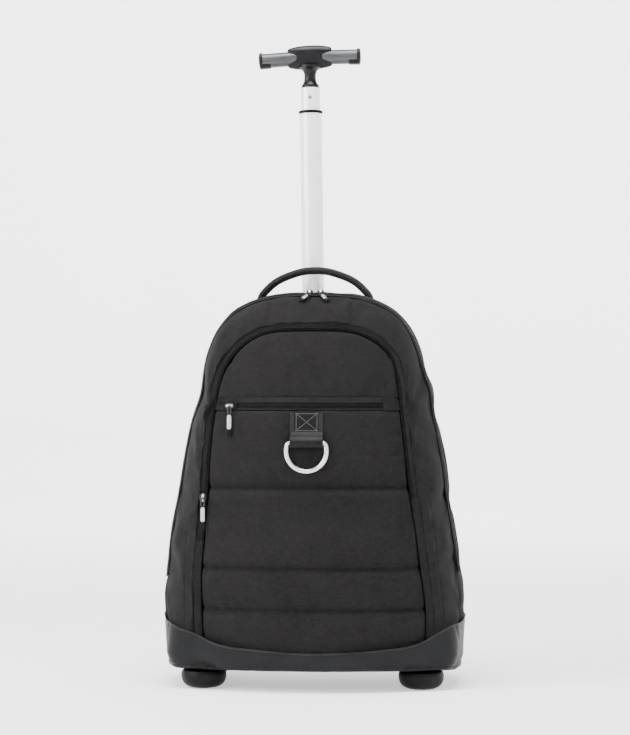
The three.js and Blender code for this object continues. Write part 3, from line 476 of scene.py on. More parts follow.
def resample(line, spacing, closed=False):
    """Points an even distance apart along a line"""
    line = np.asarray(line, float)
    if closed:
        line = np.concatenate([line, line[:1]])
    run = np.concatenate([[0], np.cumsum(np.linalg.norm(np.diff(line, axis=0), axis=1))])
    count = max(int(round(run[-1] / spacing)), 2)
    stops = np.linspace(0, run[-1], count + 1)
    if closed:
        stops = stops[:-1]
    return np.stack([np.interp(stops, run, line[:, i]) for i in range(3)], 1)


def smooth_path(points, steps):
    """A smooth curve through a few points"""
    points = np.asarray(points, float)
    run = np.concatenate([[0], np.cumsum(np.linalg.norm(np.diff(points, axis=0), axis=1))])
    rows = [{"at": run[i], "x": p[0], "y": p[1], "z": p[2]} for i, p in enumerate(points)]
    stops = np.linspace(0, run[-1], steps)
    return np.stack([column(rows, "at", name)(stops) for name in "xyz"], 1)


def beads(shape, line, length, wide, tall, sideways=(0, 1, 0), slant=0.0, lift=0.0):
    """Small rounded beads, such as stitches or zip teeth, one at each point of a line"""
    run, side, face = along_line(line, sideways)
    sections = [(-0.5, 0.35), (-0.36, 0.9), (0, 1), (0.36, 0.9), (0.5, 0.35)]
    for i, centre in enumerate(line):
        way = cos(slant) * run[i] + sin(slant) * side[i]
        out = -sin(slant) * run[i] + cos(slant) * side[i]
        loops = []
        for place, size in sections:
            middle = centre + way * place * length + face[i] * (lift - tall * (1 - size) / 2)
            loops.append([middle + out * a * size + face[i] * b * size for a, b in ellipse(wide, tall)])
        shape.add(*loft(loops))


def ellipse(wide, tall, sides=6):
    return [(wide / 2 * cos(2 * pi * i / sides), tall / 2 * sin(2 * pi * i / sides)) for i in range(sides)]


# The bag's outlines, as its solids have them

SHOULDER_SPAN = 200
BAG_WIDTH = 356
BAG_BASE = 18.8
BAG_CROWN = 466.8
BAG_SHOULDER = 442.8
MIDDLE = (BAG_BASE + BAG_CROWN) / 2
REAR_INSET = 12
SHELL_WALL = 3

BAG_SIDES = [
    {"up": up, "out": out} for up, out in (
        (0, 0.9), (0.012, 0.952), (0.035, 0.98), (0.1, 0.99), (0.21, 1), (0.3, 0.978), (0.39, 0.949),
        (0.48, 0.911), (0.57, 0.88), (0.66, 0.841), (0.75, 0.791), (0.83, 0.75), (0.91, 0.697), (0.96, 0.64),
        (1, SHOULDER_SPAN / BAG_WIDTH),
    )
]
MAIN_STATIONS = [
    {"back": back, "inset": inset}
    for back, inset in ((0, 0.42), (0.1, 0.16), (0.27, 0), (0.6, 0.05), (0.85, 0.4), (1, 1))
]

ARC_WIDTH = 280
ARC_BASE = 10
ARC_SHOULDER = 375
ARC_TOP = 410
ARC_DEPTH = 76
POCKET_BULGE = 34
ARC_TOP_BULGE = 0.1
ZIP_WIDTH = 9.3
ARC_SIDES = [
    {"up": up, "out": out, "shift": shift, "deep": deep, "bulge": bulge} for up, out, shift, deep, bulge in (
        (0, 0.985, 0.02, 0.84, 0.98), (0.18, 1, 0.02, 0.92, 0.95), (0.31, 0.978, 0, 0.965, 0.92),
        (0.41, 0.95, -0.005, 0.98, 0.89), (0.57, 0.902, -0.02, 0.98, 0.85), (0.7, 0.872, -0.03, 0.96, 0.8),
        (0.83, 0.833, -0.03, 0.91, 0.7), (0.92, 0.797, -0.02, 0.86, 0.59), (0.97, 0.757, -0.01, 0.825, 0.51),
        (1, 0.714, 0, 0.8, 0.46),
    )
]
QUILT_SEAMS = (77, 125, 218)
POCKET_ZIP = 312
SIDE_STEPS = 130
CROWN_STEPS = 80


class Outline:
    """A closed outline: up the left side, over the crown, down the right side and back along the bottom"""

    def __init__(self, low, high, top, power, half, centre, softness=5):
        climb = np.linspace(0, 1, SIDE_STEPS, endpoint=False)
        span = np.linspace(-1, 1, CROWN_STEPS, endpoint=False)
        self.up = np.concatenate([climb, np.ones(CROWN_STEPS), 1 - climb, np.zeros(CROWN_STEPS)])
        self.side = np.concatenate([-np.ones(SIDE_STEPS), span, np.ones(SIDE_STEPS), -span])
        self.crown = np.zeros(len(self.up), bool)
        self.crown[SIDE_STEPS:SIDE_STEPS + CROWN_STEPS] = True
        rise = (top - high) * (1 - np.abs(self.side) ** power) * self.crown
        self.x = centre(self.up) + self.side * half(self.up)
        self.z = mix(low, high, self.up) + rise
        for _ in range(softness):
            self.x, self.z = [(np.roll(v, 1) + 2 * v + np.roll(v, -1)) / 4 for v in (self.x, self.z)]
        run = np.stack([np.roll(v, -1) - np.roll(v, 1) for v in (self.x, self.z)])
        run /= np.linalg.norm(run, axis=0)
        self.out_x, self.out_z = -run[1], run[0]

    def grown(self, grow):
        return self.x + self.out_x * grow, self.z + self.out_z * grow


bag_half = column(BAG_SIDES, "up", "out")
station_inset = column(MAIN_STATIONS, "back", "inset")
arc_half, arc_shift, arc_deep, arc_bulge = [column(ARC_SIDES, "up", n) for n in ("out", "shift", "deep", "bulge")]
BAG = Outline(
    BAG_BASE, BAG_SHOULDER, BAG_CROWN, 3.2, lambda up: bag_half(up) * BAG_WIDTH / 2, lambda up: 0 * up,
)
BAG.x += 3.2 * np.exp(-((BAG.z - 350) / 22) ** 2) - 1.4 * np.exp(-((BAG.z - 190) / 40) ** 2)
ARC = Outline(
    BAG_BASE + ARC_BASE, BAG_BASE + ARC_SHOULDER, BAG_BASE + ARC_TOP, 3.6,
    lambda up: arc_half(up) * ARC_WIDTH / 2, lambda up: arc_shift(up) * ARC_WIDTH / 2,
)


def pocket_depth(side, up, over_top=0.0):
    bulge = mix(arc_bulge(up), ARC_TOP_BULGE, over_top)
    return -(arc_deep(up) * ARC_DEPTH + bulge * POCKET_BULGE * (1 - np.abs(side) ** 2.2))


def arc_line(grow=0.0, sunk=0.0):
    """The arched zip's outline, moved out of or into the pocket, and back by a depth"""
    x, z = ARC.grown(grow)
    depth = pocket_depth(ARC.side * (ARC.crown | (ARC.up > 0)), ARC.up, ARC.crown * 1.0)
    depth = np.where((ARC.up == 0), pocket_depth(ARC.side, 0 * ARC.up), depth)
    return np.stack([x, depth + sunk, z], 1)


def main_rows(back, grow=0.0):
    """The main part's outline at each share of the way from the main zip back to the rear edge"""
    back = np.asarray(back, float)[:, None]
    shrink = 1 - station_inset(back) * REAR_INSET / (BAG_WIDTH / 2)
    x = BAG.x * shrink + BAG.out_x * grow
    z = MIDDLE + (BAG.z - MIDDLE) * shrink + BAG.out_z * grow
    return np.stack([x, mix(FRONT_DEPTH, REAR_DEPTH, back) + 0 * x, z], -1)


def band_rows(share, grow=0.0):
    """The front band from the main zip, at share 0, to the arched zip, at share 1"""
    outer, inner = main_rows([0])[0], arc_line()
    flatness = mix(0.55, 1.35, ramp(BAG.up / 0.2))
    rows = []
    for turn in np.asarray(share, float) * pi / 2:
        sideways, forwards = max(cos(turn), 0) ** flatness, sin(turn) ** flatness
        x = mix(inner[:, 0], outer[:, 0], sideways)
        y = mix(outer[:, 1], inner[:, 1], forwards)
        z = mix(inner[:, 2], outer[:, 2], sideways)
        out = np.stack([BAG.out_x * cos(turn), -sin(turn) + 0 * x, BAG.out_z * cos(turn)], 1)
        rows.append(np.stack([x, y, z], 1) + out * grow)
    return np.stack(rows)


SHEET_MASS = 0.002


def ripples(grid, normals, amount, size, seed):
    """Shallow unevenness of padded cloth"""
    flat = grid.reshape(-1, 3)
    heights = [noise.noise(Vector(p) / size + Vector((seed, 0, 0))) for p in flat]
    return grid + normals * (np.array(heights) * amount).reshape(grid.shape[:2] + (1,))


def eased(values, closed):
    """Softens a table of moves along both ways"""
    for axis in (0, 1):
        for _ in range(3):
            before, after = np.roll(values, 1, axis), np.roll(values, -1, axis)
            if axis == 0 or not closed:
                ends = [slice(None), slice(None)]
                for table, end in ((before, 0), (after, -1)):
                    ends[axis] = end
                    table[tuple(ends)] = values[tuple(ends)]
            values = (before + 2 * values + after) / 4
    return values


def swollen(grid, held, reach, closed=False, every=(3, 3), pressure=4.0):
    """A sheet as a short cloth simulation swells it between the points where it is held. Moves stay within a reach"""
    rows, columns = grid.shape[:2]
    down = sorted(set(range(0, rows, every[0])) | {rows - 1} | set(np.flatnonzero(held.all(1)).tolist()))
    across = sorted(set(range(0, columns, every[1])) | (set() if closed else {columns - 1}))
    start, fixed = grid[np.ix_(down, across)], held[np.ix_(down, across)]
    size = len(across)
    faces = []
    for i in range(len(down) - 1):
        for j in range(size if closed else size - 1):
            k = (j + 1) % size
            faces.append((i * size + j, (i + 1) * size + j, (i + 1) * size + k, i * size + k))
    normals = sheet_normals(start, closed)
    if (np.cross(np.gradient(start, axis=0), np.gradient(start, axis=1)) * normals).sum() < 0:
        faces = [face[::-1] for face in faces]
    mesh = bpy.data.meshes.new("sheet")
    mesh.from_pydata((start.reshape(-1, 3) * MM).tolist(), [], faces)
    sheet = bpy.data.objects.new("sheet", mesh)
    bpy.context.scene.collection.objects.link(sheet)
    pins = sheet.vertex_groups.new(name="held")
    pins.add([int(i) for i in np.flatnonzero(fixed.ravel())], 1.0, "REPLACE")
    settings = sheet.modifiers.new("cloth", "CLOTH").settings
    settings.vertex_group_mass = "held"
    settings.mass = SHEET_MASS
    settings.use_pressure = True
    settings.uniform_pressure_force = pressure
    settings.shrink_min = -0.015
    settings.effector_weights.gravity = 0
    for step in range(1, 21):
        bpy.context.scene.frame_set(step)
    result = sheet.evaluated_get(bpy.context.evaluated_depsgraph_get()).data.vertices
    moved = np.array([vertex.co for vertex in result]).reshape(start.shape) / MM - start
    bpy.context.scene.frame_set(1)
    discard(sheet)
    if closed:
        across, moved = across + [columns], np.concatenate([moved, moved[:, :1]], 1)
    wide = np.stack([[np.interp(range(columns), across, line[:, i]) for i in range(3)] for line in moved])
    full = np.stack([[np.interp(range(rows), down, wide[:, i, j]) for j in range(columns)] for i in range(3)])
    full = eased(full.transpose(2, 1, 0), closed)
    length = np.maximum(np.linalg.norm(full, axis=2, keepdims=True), 1e-6)
    cap = np.broadcast_to(np.asarray(reach, float), grid.shape[:2])[..., None]
    return grid + full / length * cap * np.tanh(length / cap)


# Wheels stand in rooms cut out of the soft parts

WHEEL_SPAN = 256
WHEEL_DEPTH = 60
FOOT_DEPTH = -44
WHEEL_RADIUS = 32
HOUSING_RADIUS = 37.6
HOUSING_WIDTH = 37.8
SIDES = (("left", -1), ("right", 1))


def across_wheel(points, side):
    """Turns a shape about Z so that it lies on the wheel's axle"""
    points = np.asarray(points)
    turned_points = np.stack([points[:, 2], points[:, 1], -points[:, 0]], 1)
    return turned_points + np.array([side * WHEEL_SPAN / 2, WHEEL_DEPTH, WHEEL_RADIUS])


def drum(radius, width, side, sides=64):
    points, faces = turned([(radius, -width / 2), (radius, width / 2)], sides)
    return across_wheel(points, side), faces


def housing_rooms():
    return [
        Shape().add(*drum(HOUSING_RADIUS + 0.6, HOUSING_WIDTH + 1.2, side)).mesh_object(f"room_{name}", PLASTIC)
        for name, side in SIDES
    ]


# Soft body

def gusset():
    """Sides, crown and underside, from the main zip back to the rear edge"""
    back = np.linspace(0.0, 1, 44)
    grid = main_rows(back)
    held = np.broadcast_to(((back < 0.03) | (back > 0.97) | (abs(back - 0.36) < 0.012))[:, None], grid.shape[:2])
    grid = swollen(grid, held, 2.2, True, (4, 4))
    normals = sheet_normals(grid, True)
    seams = np.exp(-((back - 0.36) / 0.018) ** 2) + np.exp(-((back - 0.02) / 0.03) ** 2)
    heights = BAG.z[None, :]
    dents = sum(np.exp(-((heights - z) / 6) ** 2) for z in (91, 151, 226)) * (BAG.out_x[None, :] > 0.6) * 2.6
    dents = dents + np.exp(-((heights - 128) / 34) ** 2) * (BAG.out_x[None, :] > 0.6) * 2.4
    dents = dents + np.exp(-((heights - 365) / 7) ** 2) * (BAG.out_x[None, :] < -0.5) * 2.4
    grid = grid - normals * (1.1 * seams[:, None] + dents * (1 - back[:, None]) ** 2)[..., None]
    grid = ripples(grid, normals, 0.8, 45, 3)
    return Shape().add(*slab(grid, SHELL_WALL, True)).mesh_object("gusset", LINING)


def front_band():
    """Padded band between the main zip and the arched zip, with darts at the shoulders"""
    share = np.linspace(0, 1, 40)
    grid = band_rows(share)
    held = np.broadcast_to(((share < 0.03) | (share > 0.97))[:, None], grid.shape[:2])
    grid = swollen(grid, held, 2.6, True, (4, 4))
    normals = sheet_normals(grid, True)
    x, z = BAG.x[None, :], BAG.z[None, :]
    darts = 0
    for dart_x, dart_z in ((-103, 404), (96, 411)):
        away = (x - dart_x) * np.sign(dart_x) * 0.75 + (z - dart_z) * 0.66
        darts = darts + np.exp(-(away / 2.0) ** 2) * (np.sign(x) == np.sign(dart_x)) * (z > 340)
    folds = sum(np.exp(-((z - height) / 6) ** 2) for height in (91, 151, 226)) * (BAG.out_x[None, :] > 0.6)
    folds = folds * np.exp(-(share / 0.22) ** 2)[:, None] * 2.4
    fading = np.exp(-(share / 0.4) ** 2)[:, None]
    folds = folds + np.exp(-((z - 128) / 34) ** 2) * (BAG.out_x[None, :] > 0.6) * fading * 2.4
    beside = np.abs(grid[..., 0] - grid[-1:, :, 0])
    sewn = np.exp(-((beside - 10.5) / 0.9) ** 2) * (grid[..., 2] < np.where(x > 0, 222, 190)) * (grid[..., 2] > 30)
    edge = np.exp(-((1 - share) / 0.035) ** 2)[:, None] * 1.2 + np.exp(-(share / 0.03) ** 2)[:, None] * 1.0
    darts = darts * 2.0 * np.sin(pi * share)[:, None] ** 0.4
    grid = grid - normals * (darts + edge + folds + 0.9 * sewn)[..., None]
    grid = ripples(grid, normals, 1.1, 38, 9)
    return Shape().add(*slab(grid, SHELL_WALL, True)).mesh_object("front_band_panel", CLOTH)


def pocket_edges(inset):
    x, z = ARC.grown(-inset)
    crown_end = SIDE_STEPS + CROWN_STEPS
    left = slice(0, SIDE_STEPS + 1)
    right = np.arange(crown_end + SIDE_STEPS - 1, crown_end - 1, -1)
    top = slice(SIDE_STEPS - 1, crown_end + 1)
    return (x[left], z[left]), (x[right], z[right]), (x[top], z[top])


def pocket_rows(levels, columns, inset=ZIP_WIDTH, crowned=False):
    """Rows of the pocket's face, from heights above the underside of the cloth"""
    (left_x, left_z), (right_x, right_z), (top_x, top_z) = pocket_edges(inset)
    shoulder = right_z[-1]
    share = (levels - levels[0]) / (levels[-1] - levels[0])
    last = shoulder - BAG_BASE if crowned else levels[-1]
    levels = mix(levels[0], last, share)[:, None]
    lift = share[:, None] ** 1.5 if crowned else 0 * share[:, None]
    left = np.interp(BAG_BASE + levels, left_z, left_x)
    right = np.interp(BAG_BASE + levels, right_z, right_x)
    spread = np.linspace(0, 1, columns)[None, :]
    x = mix(left, right, spread)
    rise = lift * (np.interp(x, top_x, top_z) - shoulder)
    up = np.clip((levels - ARC_BASE) / (ARC_SHOULDER - ARC_BASE), 0, 1)
    depth = pocket_depth(2 * spread - 1, up + 0 * x, lift**2 + 0 * x)
    return np.stack([x, depth, BAG_BASE + levels + rise], -1), levels + 0 * x


def from_edge(grid):
    """How far each point of a grid is from its nearest side edge"""
    width = np.abs(grid[:, -1:, 0] - grid[:, :1, 0])
    share = np.linspace(0, 1, grid.shape[1])[None, :]
    return np.minimum(share, 1 - share) * width


def quilted_pocket():
    """Lower pocket face with three sewn channels"""
    levels = np.linspace(ARC_BASE + 0.3, POCKET_ZIP - 4.8, 210)
    grid, level = pocket_rows(levels, 150)
    normals = sheet_normals(grid, False)
    near = np.min([np.abs(level - seam) for seam in QUILT_SEAMS], axis=0)
    edge = from_edge(grid)
    ends = (level < levels[0] + 1) | (level > levels[-1] - 1)
    held = (near < 1.2) | (edge < 0.8) | ends
    beside_ring = np.exp(-((np.abs(grid[..., 0] + 3) / 34) ** 4)) * np.exp(-(((grid[..., 2] - 285) / 44) ** 4))
    above_base = ramp((grid[..., 2] - 54) / 26)
    grid = swollen(grid, held, 0.4 + (6.0 - 5.2 * beside_ring) * above_base, False, (4, 3), 6.0)
    normals = sheet_normals(grid, False)
    channel = -2.4 * np.exp(-(near / 2.6) ** 2) - 1.2 * np.exp(-(near / 9) ** 2)
    for seam in QUILT_SEAMS:
        channel = channel + 2.4 * np.exp(-((level - seam + 10) / 6.5) ** 2) * ramp(edge / 14) * above_base
    channel = channel - 1.4 * (1 - above_base)
    puckers = [noise.noise(Vector((p[0] / 7, 3.0 * round(p[2] / 60), 4))) for p in grid.reshape(-1, 3)]
    puckers = np.array(puckers).reshape(level.shape) * 0.8 * np.exp(-(near / 9) ** 2)
    rolled = -1.8 * np.exp(-(edge / 2.6) ** 2) - 1.5 * np.exp(-((levels[-1] - level) / 2.2) ** 2)
    grid = grid + normals * (channel + puckers + rolled)[..., None]
    grid = ripples(grid, normals, 0.9, 30, 17)
    return Shape().add(*slab(grid, 5)).mesh_object("quilted_pocket", CLOTH), grid, level


def upper_pocket():
    levels = np.linspace(POCKET_ZIP + 4.5, ARC_SHOULDER, 90)
    grid, _ = pocket_rows(levels, 150, crowned=True)
    edge = from_edge(grid)
    low = np.linspace(0, 80, 90)[:, None] + 0 * edge
    held = (edge < 0.8) | (low < 1) | (low > 79)
    grid = swollen(grid, held, 3.2, False, (3, 3))
    normals = sheet_normals(grid, False)
    rolled = -1.6 * np.exp(-(edge / 2.6) ** 2) - 1.6 * np.exp(-((80 - low) / 2.6) ** 2)
    seam = -1.4 * np.exp(-((low - 7) / 1.6) ** 2)
    grid = grid + normals * (rolled + seam)[..., None]
    grid = ripples(grid, normals, 1.0, 34, 23)
    return Shape().add(*slab(grid, 5)).mesh_object("upper_pocket", CLOTH)


def ring_part(first, last):
    """Indices of the arched zip's outline from one height on the left round to one on the right"""
    z, count = ARC.z, len(ARC.z)
    left = np.searchsorted(z[:SIDE_STEPS], first)
    crown_end = SIDE_STEPS + CROWN_STEPS
    right = crown_end + np.argmax(z[crown_end:crown_end + SIDE_STEPS] < last)
    return np.arange(left, right + 1) % count


ARC_ZIP_LEFT = 176
ARC_ZIP_RIGHT = 226
TAPE_SUNK = 1.6


def strip_between(indices, outer, inner, sunk, columns):
    rows = [arc_line(-mix(outer, inner, share), sunk)[indices] for share in np.linspace(0, 1, columns)]
    return np.stack(rows)


def arched_zip():
    indices = ring_part(ARC_ZIP_LEFT - 4, ARC_ZIP_RIGHT - 4)
    grid = strip_between(indices, 0.3, ZIP_WIDTH - 0.3, TAPE_SUNK, 13)
    cupped = np.sin(np.linspace(0, pi, 13))[:, None]
    grid[..., 1] += 0.5 * (1 - cupped)
    tape = Shape().add(*slab(grid, 1.2)).mesh_object("arched_zip_tape", TAPE)
    line = resample(arc_line(2.6 - ZIP_WIDTH, TAPE_SUNK - 0.5)[indices], 1.5)
    teeth = Shape()
    _, _, face = along_line(line, (0, 1, 0))
    for side in (-1, 1):
        beads(teeth, line + face * side * 0.9, 1.9, 1.0, 1.3, slant=radians(80 * side))
    return tape, teeth.mesh_object("arched_zip_coil", COIL)


def placket(name, low, high, side):
    z = ARC.z
    crown_end = SIDE_STEPS + CROWN_STEPS
    span = range(0, SIDE_STEPS) if side < 0 else range(crown_end, crown_end + SIDE_STEPS)
    indices = np.array([i for i in span if low <= z[i] <= high])
    grid = strip_between(indices, 0.3, ZIP_WIDTH - 0.3, 0, 13)
    grid[..., 1] -= 0.5 * np.sin(np.linspace(0, pi, 13))[:, None]
    return Shape().add(*slab(grid, 3)).mesh_object(name, CLOTH)


def main_zip():
    """Tape and coil on the front edge of the gusset, over the crown and down both sides"""
    crown_end = SIDE_STEPS + CROWN_STEPS
    indices = np.arange(int(SIDE_STEPS * 0.26), crown_end + int(SIDE_STEPS * 0.74))
    grid = np.stack([
        main_rows([0.1 * share], 1.5 + 0.6 * sin(pi * share))[0][indices]
        for share in np.linspace(0, 1, 11)
    ])
    tape = Shape().add(*slab(grid, 1.4)).mesh_object("main_zip_tape", TAPE)
    line = resample(main_rows([0.05], 2.3)[0][indices], 1.5)
    teeth = Shape()
    for side in (-1, 1):
        shifted = line + np.array([0, side * 1.0, 0])
        beads(teeth, shifted, 1.9, 1.0, 1.3, slant=radians(80 * side))
    return tape, teeth.mesh_object("main_zip_coil", COIL)


def pocket_zip():
    levels = np.linspace(POCKET_ZIP - 4.2, POCKET_ZIP + 4.2, 9)
    grid, _ = pocket_rows(levels, 110)
    grid[..., 1] += 1.2 + 0.4 * np.cos(np.linspace(-pi, pi, 9))[:, None]
    tape = Shape().add(*slab(grid, 1.4)).mesh_object("pocket_zip_tape", TAPE)
    middle = grid[4]
    kept = middle[(middle[:, 0] > -88) & (middle[:, 0] < 86)]
    line = resample(kept + np.array([0, -0.6, 0]), 1.5)
    teeth = Shape()
    for side in (-1, 1):
        beads(teeth, line + np.array([0, 0, side * 1.0]), 1.9, 1.0, 1.3, slant=radians(80 * side))
    return tape, teeth.mesh_object("pocket_zip_coil", COIL)


def zip_welt():
    """Strip of tape above the straight zip, and the cloth tabs that close its ends"""
    (grid, _), made = pocket_rows(np.linspace(POCKET_ZIP + 4.7, POCKET_ZIP + 10.6, 7), 110), []
    inner = (grid[0, :, 0] > -86) & (grid[0, :, 0] < 84)
    strip = grid[:, inner] + np.array([0, -0.5, 0])
    made.append(Shape().add(*slab(strip, 1.6)).mesh_object("pocket_zip_welt", TAPE))
    for name, low, high in (("left", -103, -86.5), ("right", 84.5, 99)):
        rows, _ = pocket_rows(np.linspace(POCKET_ZIP - 4.6, POCKET_ZIP + 10.6, 12), 220)
        keep = (rows[0, :, 0] > low) & (rows[0, :, 0] < high)
        tab = rows[:, keep] + np.array([0, -0.9, 0])
        made.append(Shape().add(*slab(tab, 1.6)).mesh_object(f"pocket_zip_tab_{name}", CLOTH))
    return made


# The coated base

BASE_EDGE = [
    {"x": x, "z": z} for x, z in (
        (-186, 84), (-174, 83.5), (-157, 73.6), (-132, 65.5), (-115, 57.6), (-92, 51.8), (-57, 48.8), (-25, 46.3),
        (0, 45.3), (30, 46), (57, 47.6), (81, 49.6), (104, 52), (128, 59), (142, 67), (160, 75.3), (170, 78),
        (178, 84), (186, 84),
    )
]
BASE_WALL = 2
GROUND_GAP = 16
BASE_REAR_TOP = 83.8


def base_reader():
    """Reads the solid base's outline at an angle and a height, from outside towards the middle"""
    tree = BVHTree.FromObject(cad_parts["base_boot"], bpy.context.evaluated_depsgraph_get())

    def reach(angle, z):
        way = Vector((sin(angle), -cos(angle), 0))
        middle = Vector((0, SHIFT * MM, z * MM))
        hit = tree.ray_cast(middle + way * 0.4, -way)[0]
        return (hit - middle).length / MM if hit else None

    return reach


def coated_base():
    """Rows of the base's skin from its top edge down, with the bottom fold and the folds at the front corners"""
    reach = base_reader()
    edge_height = column(BASE_EDGE, "x", "z")
    angles = np.linspace(-pi, pi, 420, endpoint=False)
    levels = np.linspace(0, 1, 48)
    reaches = np.zeros((len(levels), len(angles)))
    heights = np.zeros_like(reaches)
    for j, angle in enumerate(angles):
        low_reach = reach(angle, 24) or 170
        x = sin(angle) * low_reach
        top = float(edge_height(x)) if cos(angle) > -0.35 else BASE_REAR_TOP
        solid_top = GROUND_GAP + 27 + 38 * (abs(x) / 178) ** 2.2
        heights[:, j] = mix(top, GROUND_GAP + 1, levels)
        for i, z in enumerate(heights[:, j]):
            reaches[i, j] = reach(angle, min(z, solid_top)) or low_reach
    for _ in range(5):
        reaches = (np.roll(reaches, 1, 1) + 2 * reaches + np.roll(reaches, -1, 1)) / 4
    reaches[1:-1] = (reaches[:-2] + 2 * reaches[1:-1] + reaches[2:]) / 4
    reaches += 1.6 * ramp((30 - heights) / 10)
    across = np.abs(np.sin(angles))[None, :]
    fold = 22.6 + 6.5 * across**3
    reaches -= 1.3 * np.exp(-((heights - fold) / 0.9) ** 2) - 0.5 * ramp((fold - heights) / 1.5)
    for corner, drift in ((-74, -3), (73, 9)):
        there = radians(corner) + radians(drift) * levels[:, None]
        reaches -= 1.0 * np.exp(-((angles[None, :] - there) / radians(0.9)) ** 2) * ramp((heights - fold) / 4)
    reaches += 0.7 * np.array([
        [noise.noise(Vector((sin(a) * 5, cos(a) * 5, z / 30))) for a in angles] for z in heights.mean(1)
    ])
    return np.stack([np.sin(angles) * reaches, -np.cos(angles) * reaches, heights], -1)


# Small soft pieces

def stitches(name, lines, length=2.4, pitch=3.8, thick=0.55, sideways=(0, 1, 0), finish=THREAD):
    rows = Shape()
    for line in lines:
        points = resample(line, pitch)
        beads(rows, points, length, thick, thick, sideways)
    return rows.mesh_object(name, finish)


def seam_line(grid, level, height, out=0.15):
    """A line across a grid at one height, just proud of it"""
    row = int(np.argmin(np.abs(level[:, 0] - height)))
    return grid[row] + np.array([0, -out, 0])


def welt(name, line, radius, closed=False, finish=PIPING, sideways=(0, 1, 0)):
    """A thin round welt along a line"""
    return Shape().add(*swept(line, circle(radius, 8), sideways, closed)).mesh_object(name, finish)


def build_soft_body():
    rooms = housing_rooms()
    shell = rounded(gusset(), 0.9)
    carved(shell, *rooms)
    pole_room = Shape()
    points, faces = turned([(20, 430), (20, 500)], 48)
    pole_room.add(points + np.array([-4.85, 56, 0]), faces)
    pole_cut = pole_room.mesh_object("pole_room", PLASTIC)
    carved(shell, pole_cut)
    piece(shell, "body_fabric", stands_for=["main_shell"])
    piece(rounded(front_band(), 0.9), "body_fabric", stands_for=["front_band"])
    quilt, grid, level = quilted_pocket()
    piece(rounded(quilt, 0.9), "body_fabric", stands_for=["pocket_lower"])
    piece(rounded(upper_pocket(), 0.9), "body_fabric", stands_for=["pocket_upper"])

    tape, coil = arched_zip()
    piece(tape, "zip_tape", stands_for=["arc_zip"])
    piece(coil, "zip_tape")
    piece(placket("placket_cloth_left", 29, ARC_ZIP_LEFT, -1), "body_fabric", stands_for=["placket_left"])
    piece(placket("placket_cloth_right", 29, ARC_ZIP_RIGHT, 1), "body_fabric", stands_for=["placket_right"])
    tape, coil = main_zip()
    piece(tape, "zip_tape", stands_for=["main_zip"])
    piece(coil, "zip_tape")
    tape, coil = pocket_zip()
    piece(tape, "zip_tape", stands_for=["pocket_zip"])
    piece(coil, "zip_tape")
    for made, slot in zip(zip_welt(), ("zip_tape", "body_fabric", "body_fabric")):
        piece(made, slot)

    seams = []
    for seam in QUILT_SEAMS:
        seams.append(seam_line(grid, level, seam - 1.0, 0.1)[2:-2])
    piece(stitches("quilt_stitches", seams), "body_fabric")

    base_grid = coated_base()
    base = Shape().add(*slab(base_grid, BASE_WALL, True))
    bottom = base_grid[-1]
    skin = base.mesh_object("coated_base", COATED)
    rounded(skin, 0.7)
    carved(skin, *rooms)
    piece(skin, "coated_base", stands_for=["base_boot"])
    under = []
    for share, sink in ((0.995, 0), (0.97, 0.6), (0.6, 0.6), (0.2, 0.6), (0.001, 0.6)):
        under.append(bottom * np.array([share, share, 1]) - np.array([0, 0, sink]))
    plate = Shape().add(*slab(np.stack(under), 1.0, True)).mesh_object("coated_underside", COATED)
    carved(plate, *rooms)
    piece(plate, "coated_base")
    top_edge = resample(base_grid[0], 4, True) + np.array([0, 0, 0.3])
    piece(welt("base_piping", top_edge, 1.0, True, PIPING, (0, 0, 1)), "coated_base")

    build_back(rooms)
    discard(*rooms, pole_cut)


# Padded back and shoulder straps

STRAP_ROUTE = [
    (36, 0, 436), (41, 0.32, 405), (54, 0.88, 345), (66, 1, 290), (76, 0.76, 245), (84, 0.36, 205),
]


def plumped(made, pressure, reach, voxel=5):
    """Swells a padded piece with a short cloth simulation, capped at a reach in millimetres"""
    remesh = made.modifiers.new("remesh", "REMESH")
    remesh.mode = "VOXEL"
    remesh.voxel_size = voxel * MM
    settle(made)
    start = np.array([v.co for v in made.data.vertices])
    cloth = made.modifiers.new("cloth", "CLOTH")
    cloth.settings.use_pressure = True
    cloth.settings.uniform_pressure_force = pressure
    cloth.settings.effector_weights.gravity = 0
    cloth.settings.quality = 5
    scene = bpy.context.scene
    for step in range(1, 21):
        scene.frame_set(step)
    graph = bpy.context.evaluated_depsgraph_get()
    swollen = np.array([v.co for v in made.evaluated_get(graph).data.vertices])
    scene.frame_set(1)
    made.modifiers.clear()
    move = swollen - start
    length = np.maximum(np.linalg.norm(move, axis=1, keepdims=True), 1e-9)
    move *= np.minimum(1, reach * MM / length)
    made.data.vertices.foreach_set("co", (start + move).ravel())
    made.data.update()
    finer = made.modifiers.new("finer", "SUBSURF")
    finer.levels = finer.render_levels = 1
    settle(made)
    made.data.shade_smooth()
    return made


def cushion(name, width, height, thick, x, y, z, finish, corner=14):
    loops = []
    for deep, draw in ((0, 3), (0.2, 0.4), (0.5, 0), (0.75, 1.2), (0.92, 3.6), (1, 8)):
        loop = []
        half, tall = width / 2 - draw, height / 2 - draw
        for cx, cz, start in ((1, 1, 0), (-1, 1, 90), (-1, -1, 180), (1, -1, 270)):
            for angle in range(0, 91, 15):
                way = radians(start + angle)
                loop.append((
                    x + cx * (half - corner) + corner * cos(way), y + deep * thick,
                    z + cz * (tall - corner) + corner * sin(way),
                ))
        loops.append(loop)
    return Shape().add(*loft(loops)).mesh_object(name, finish)


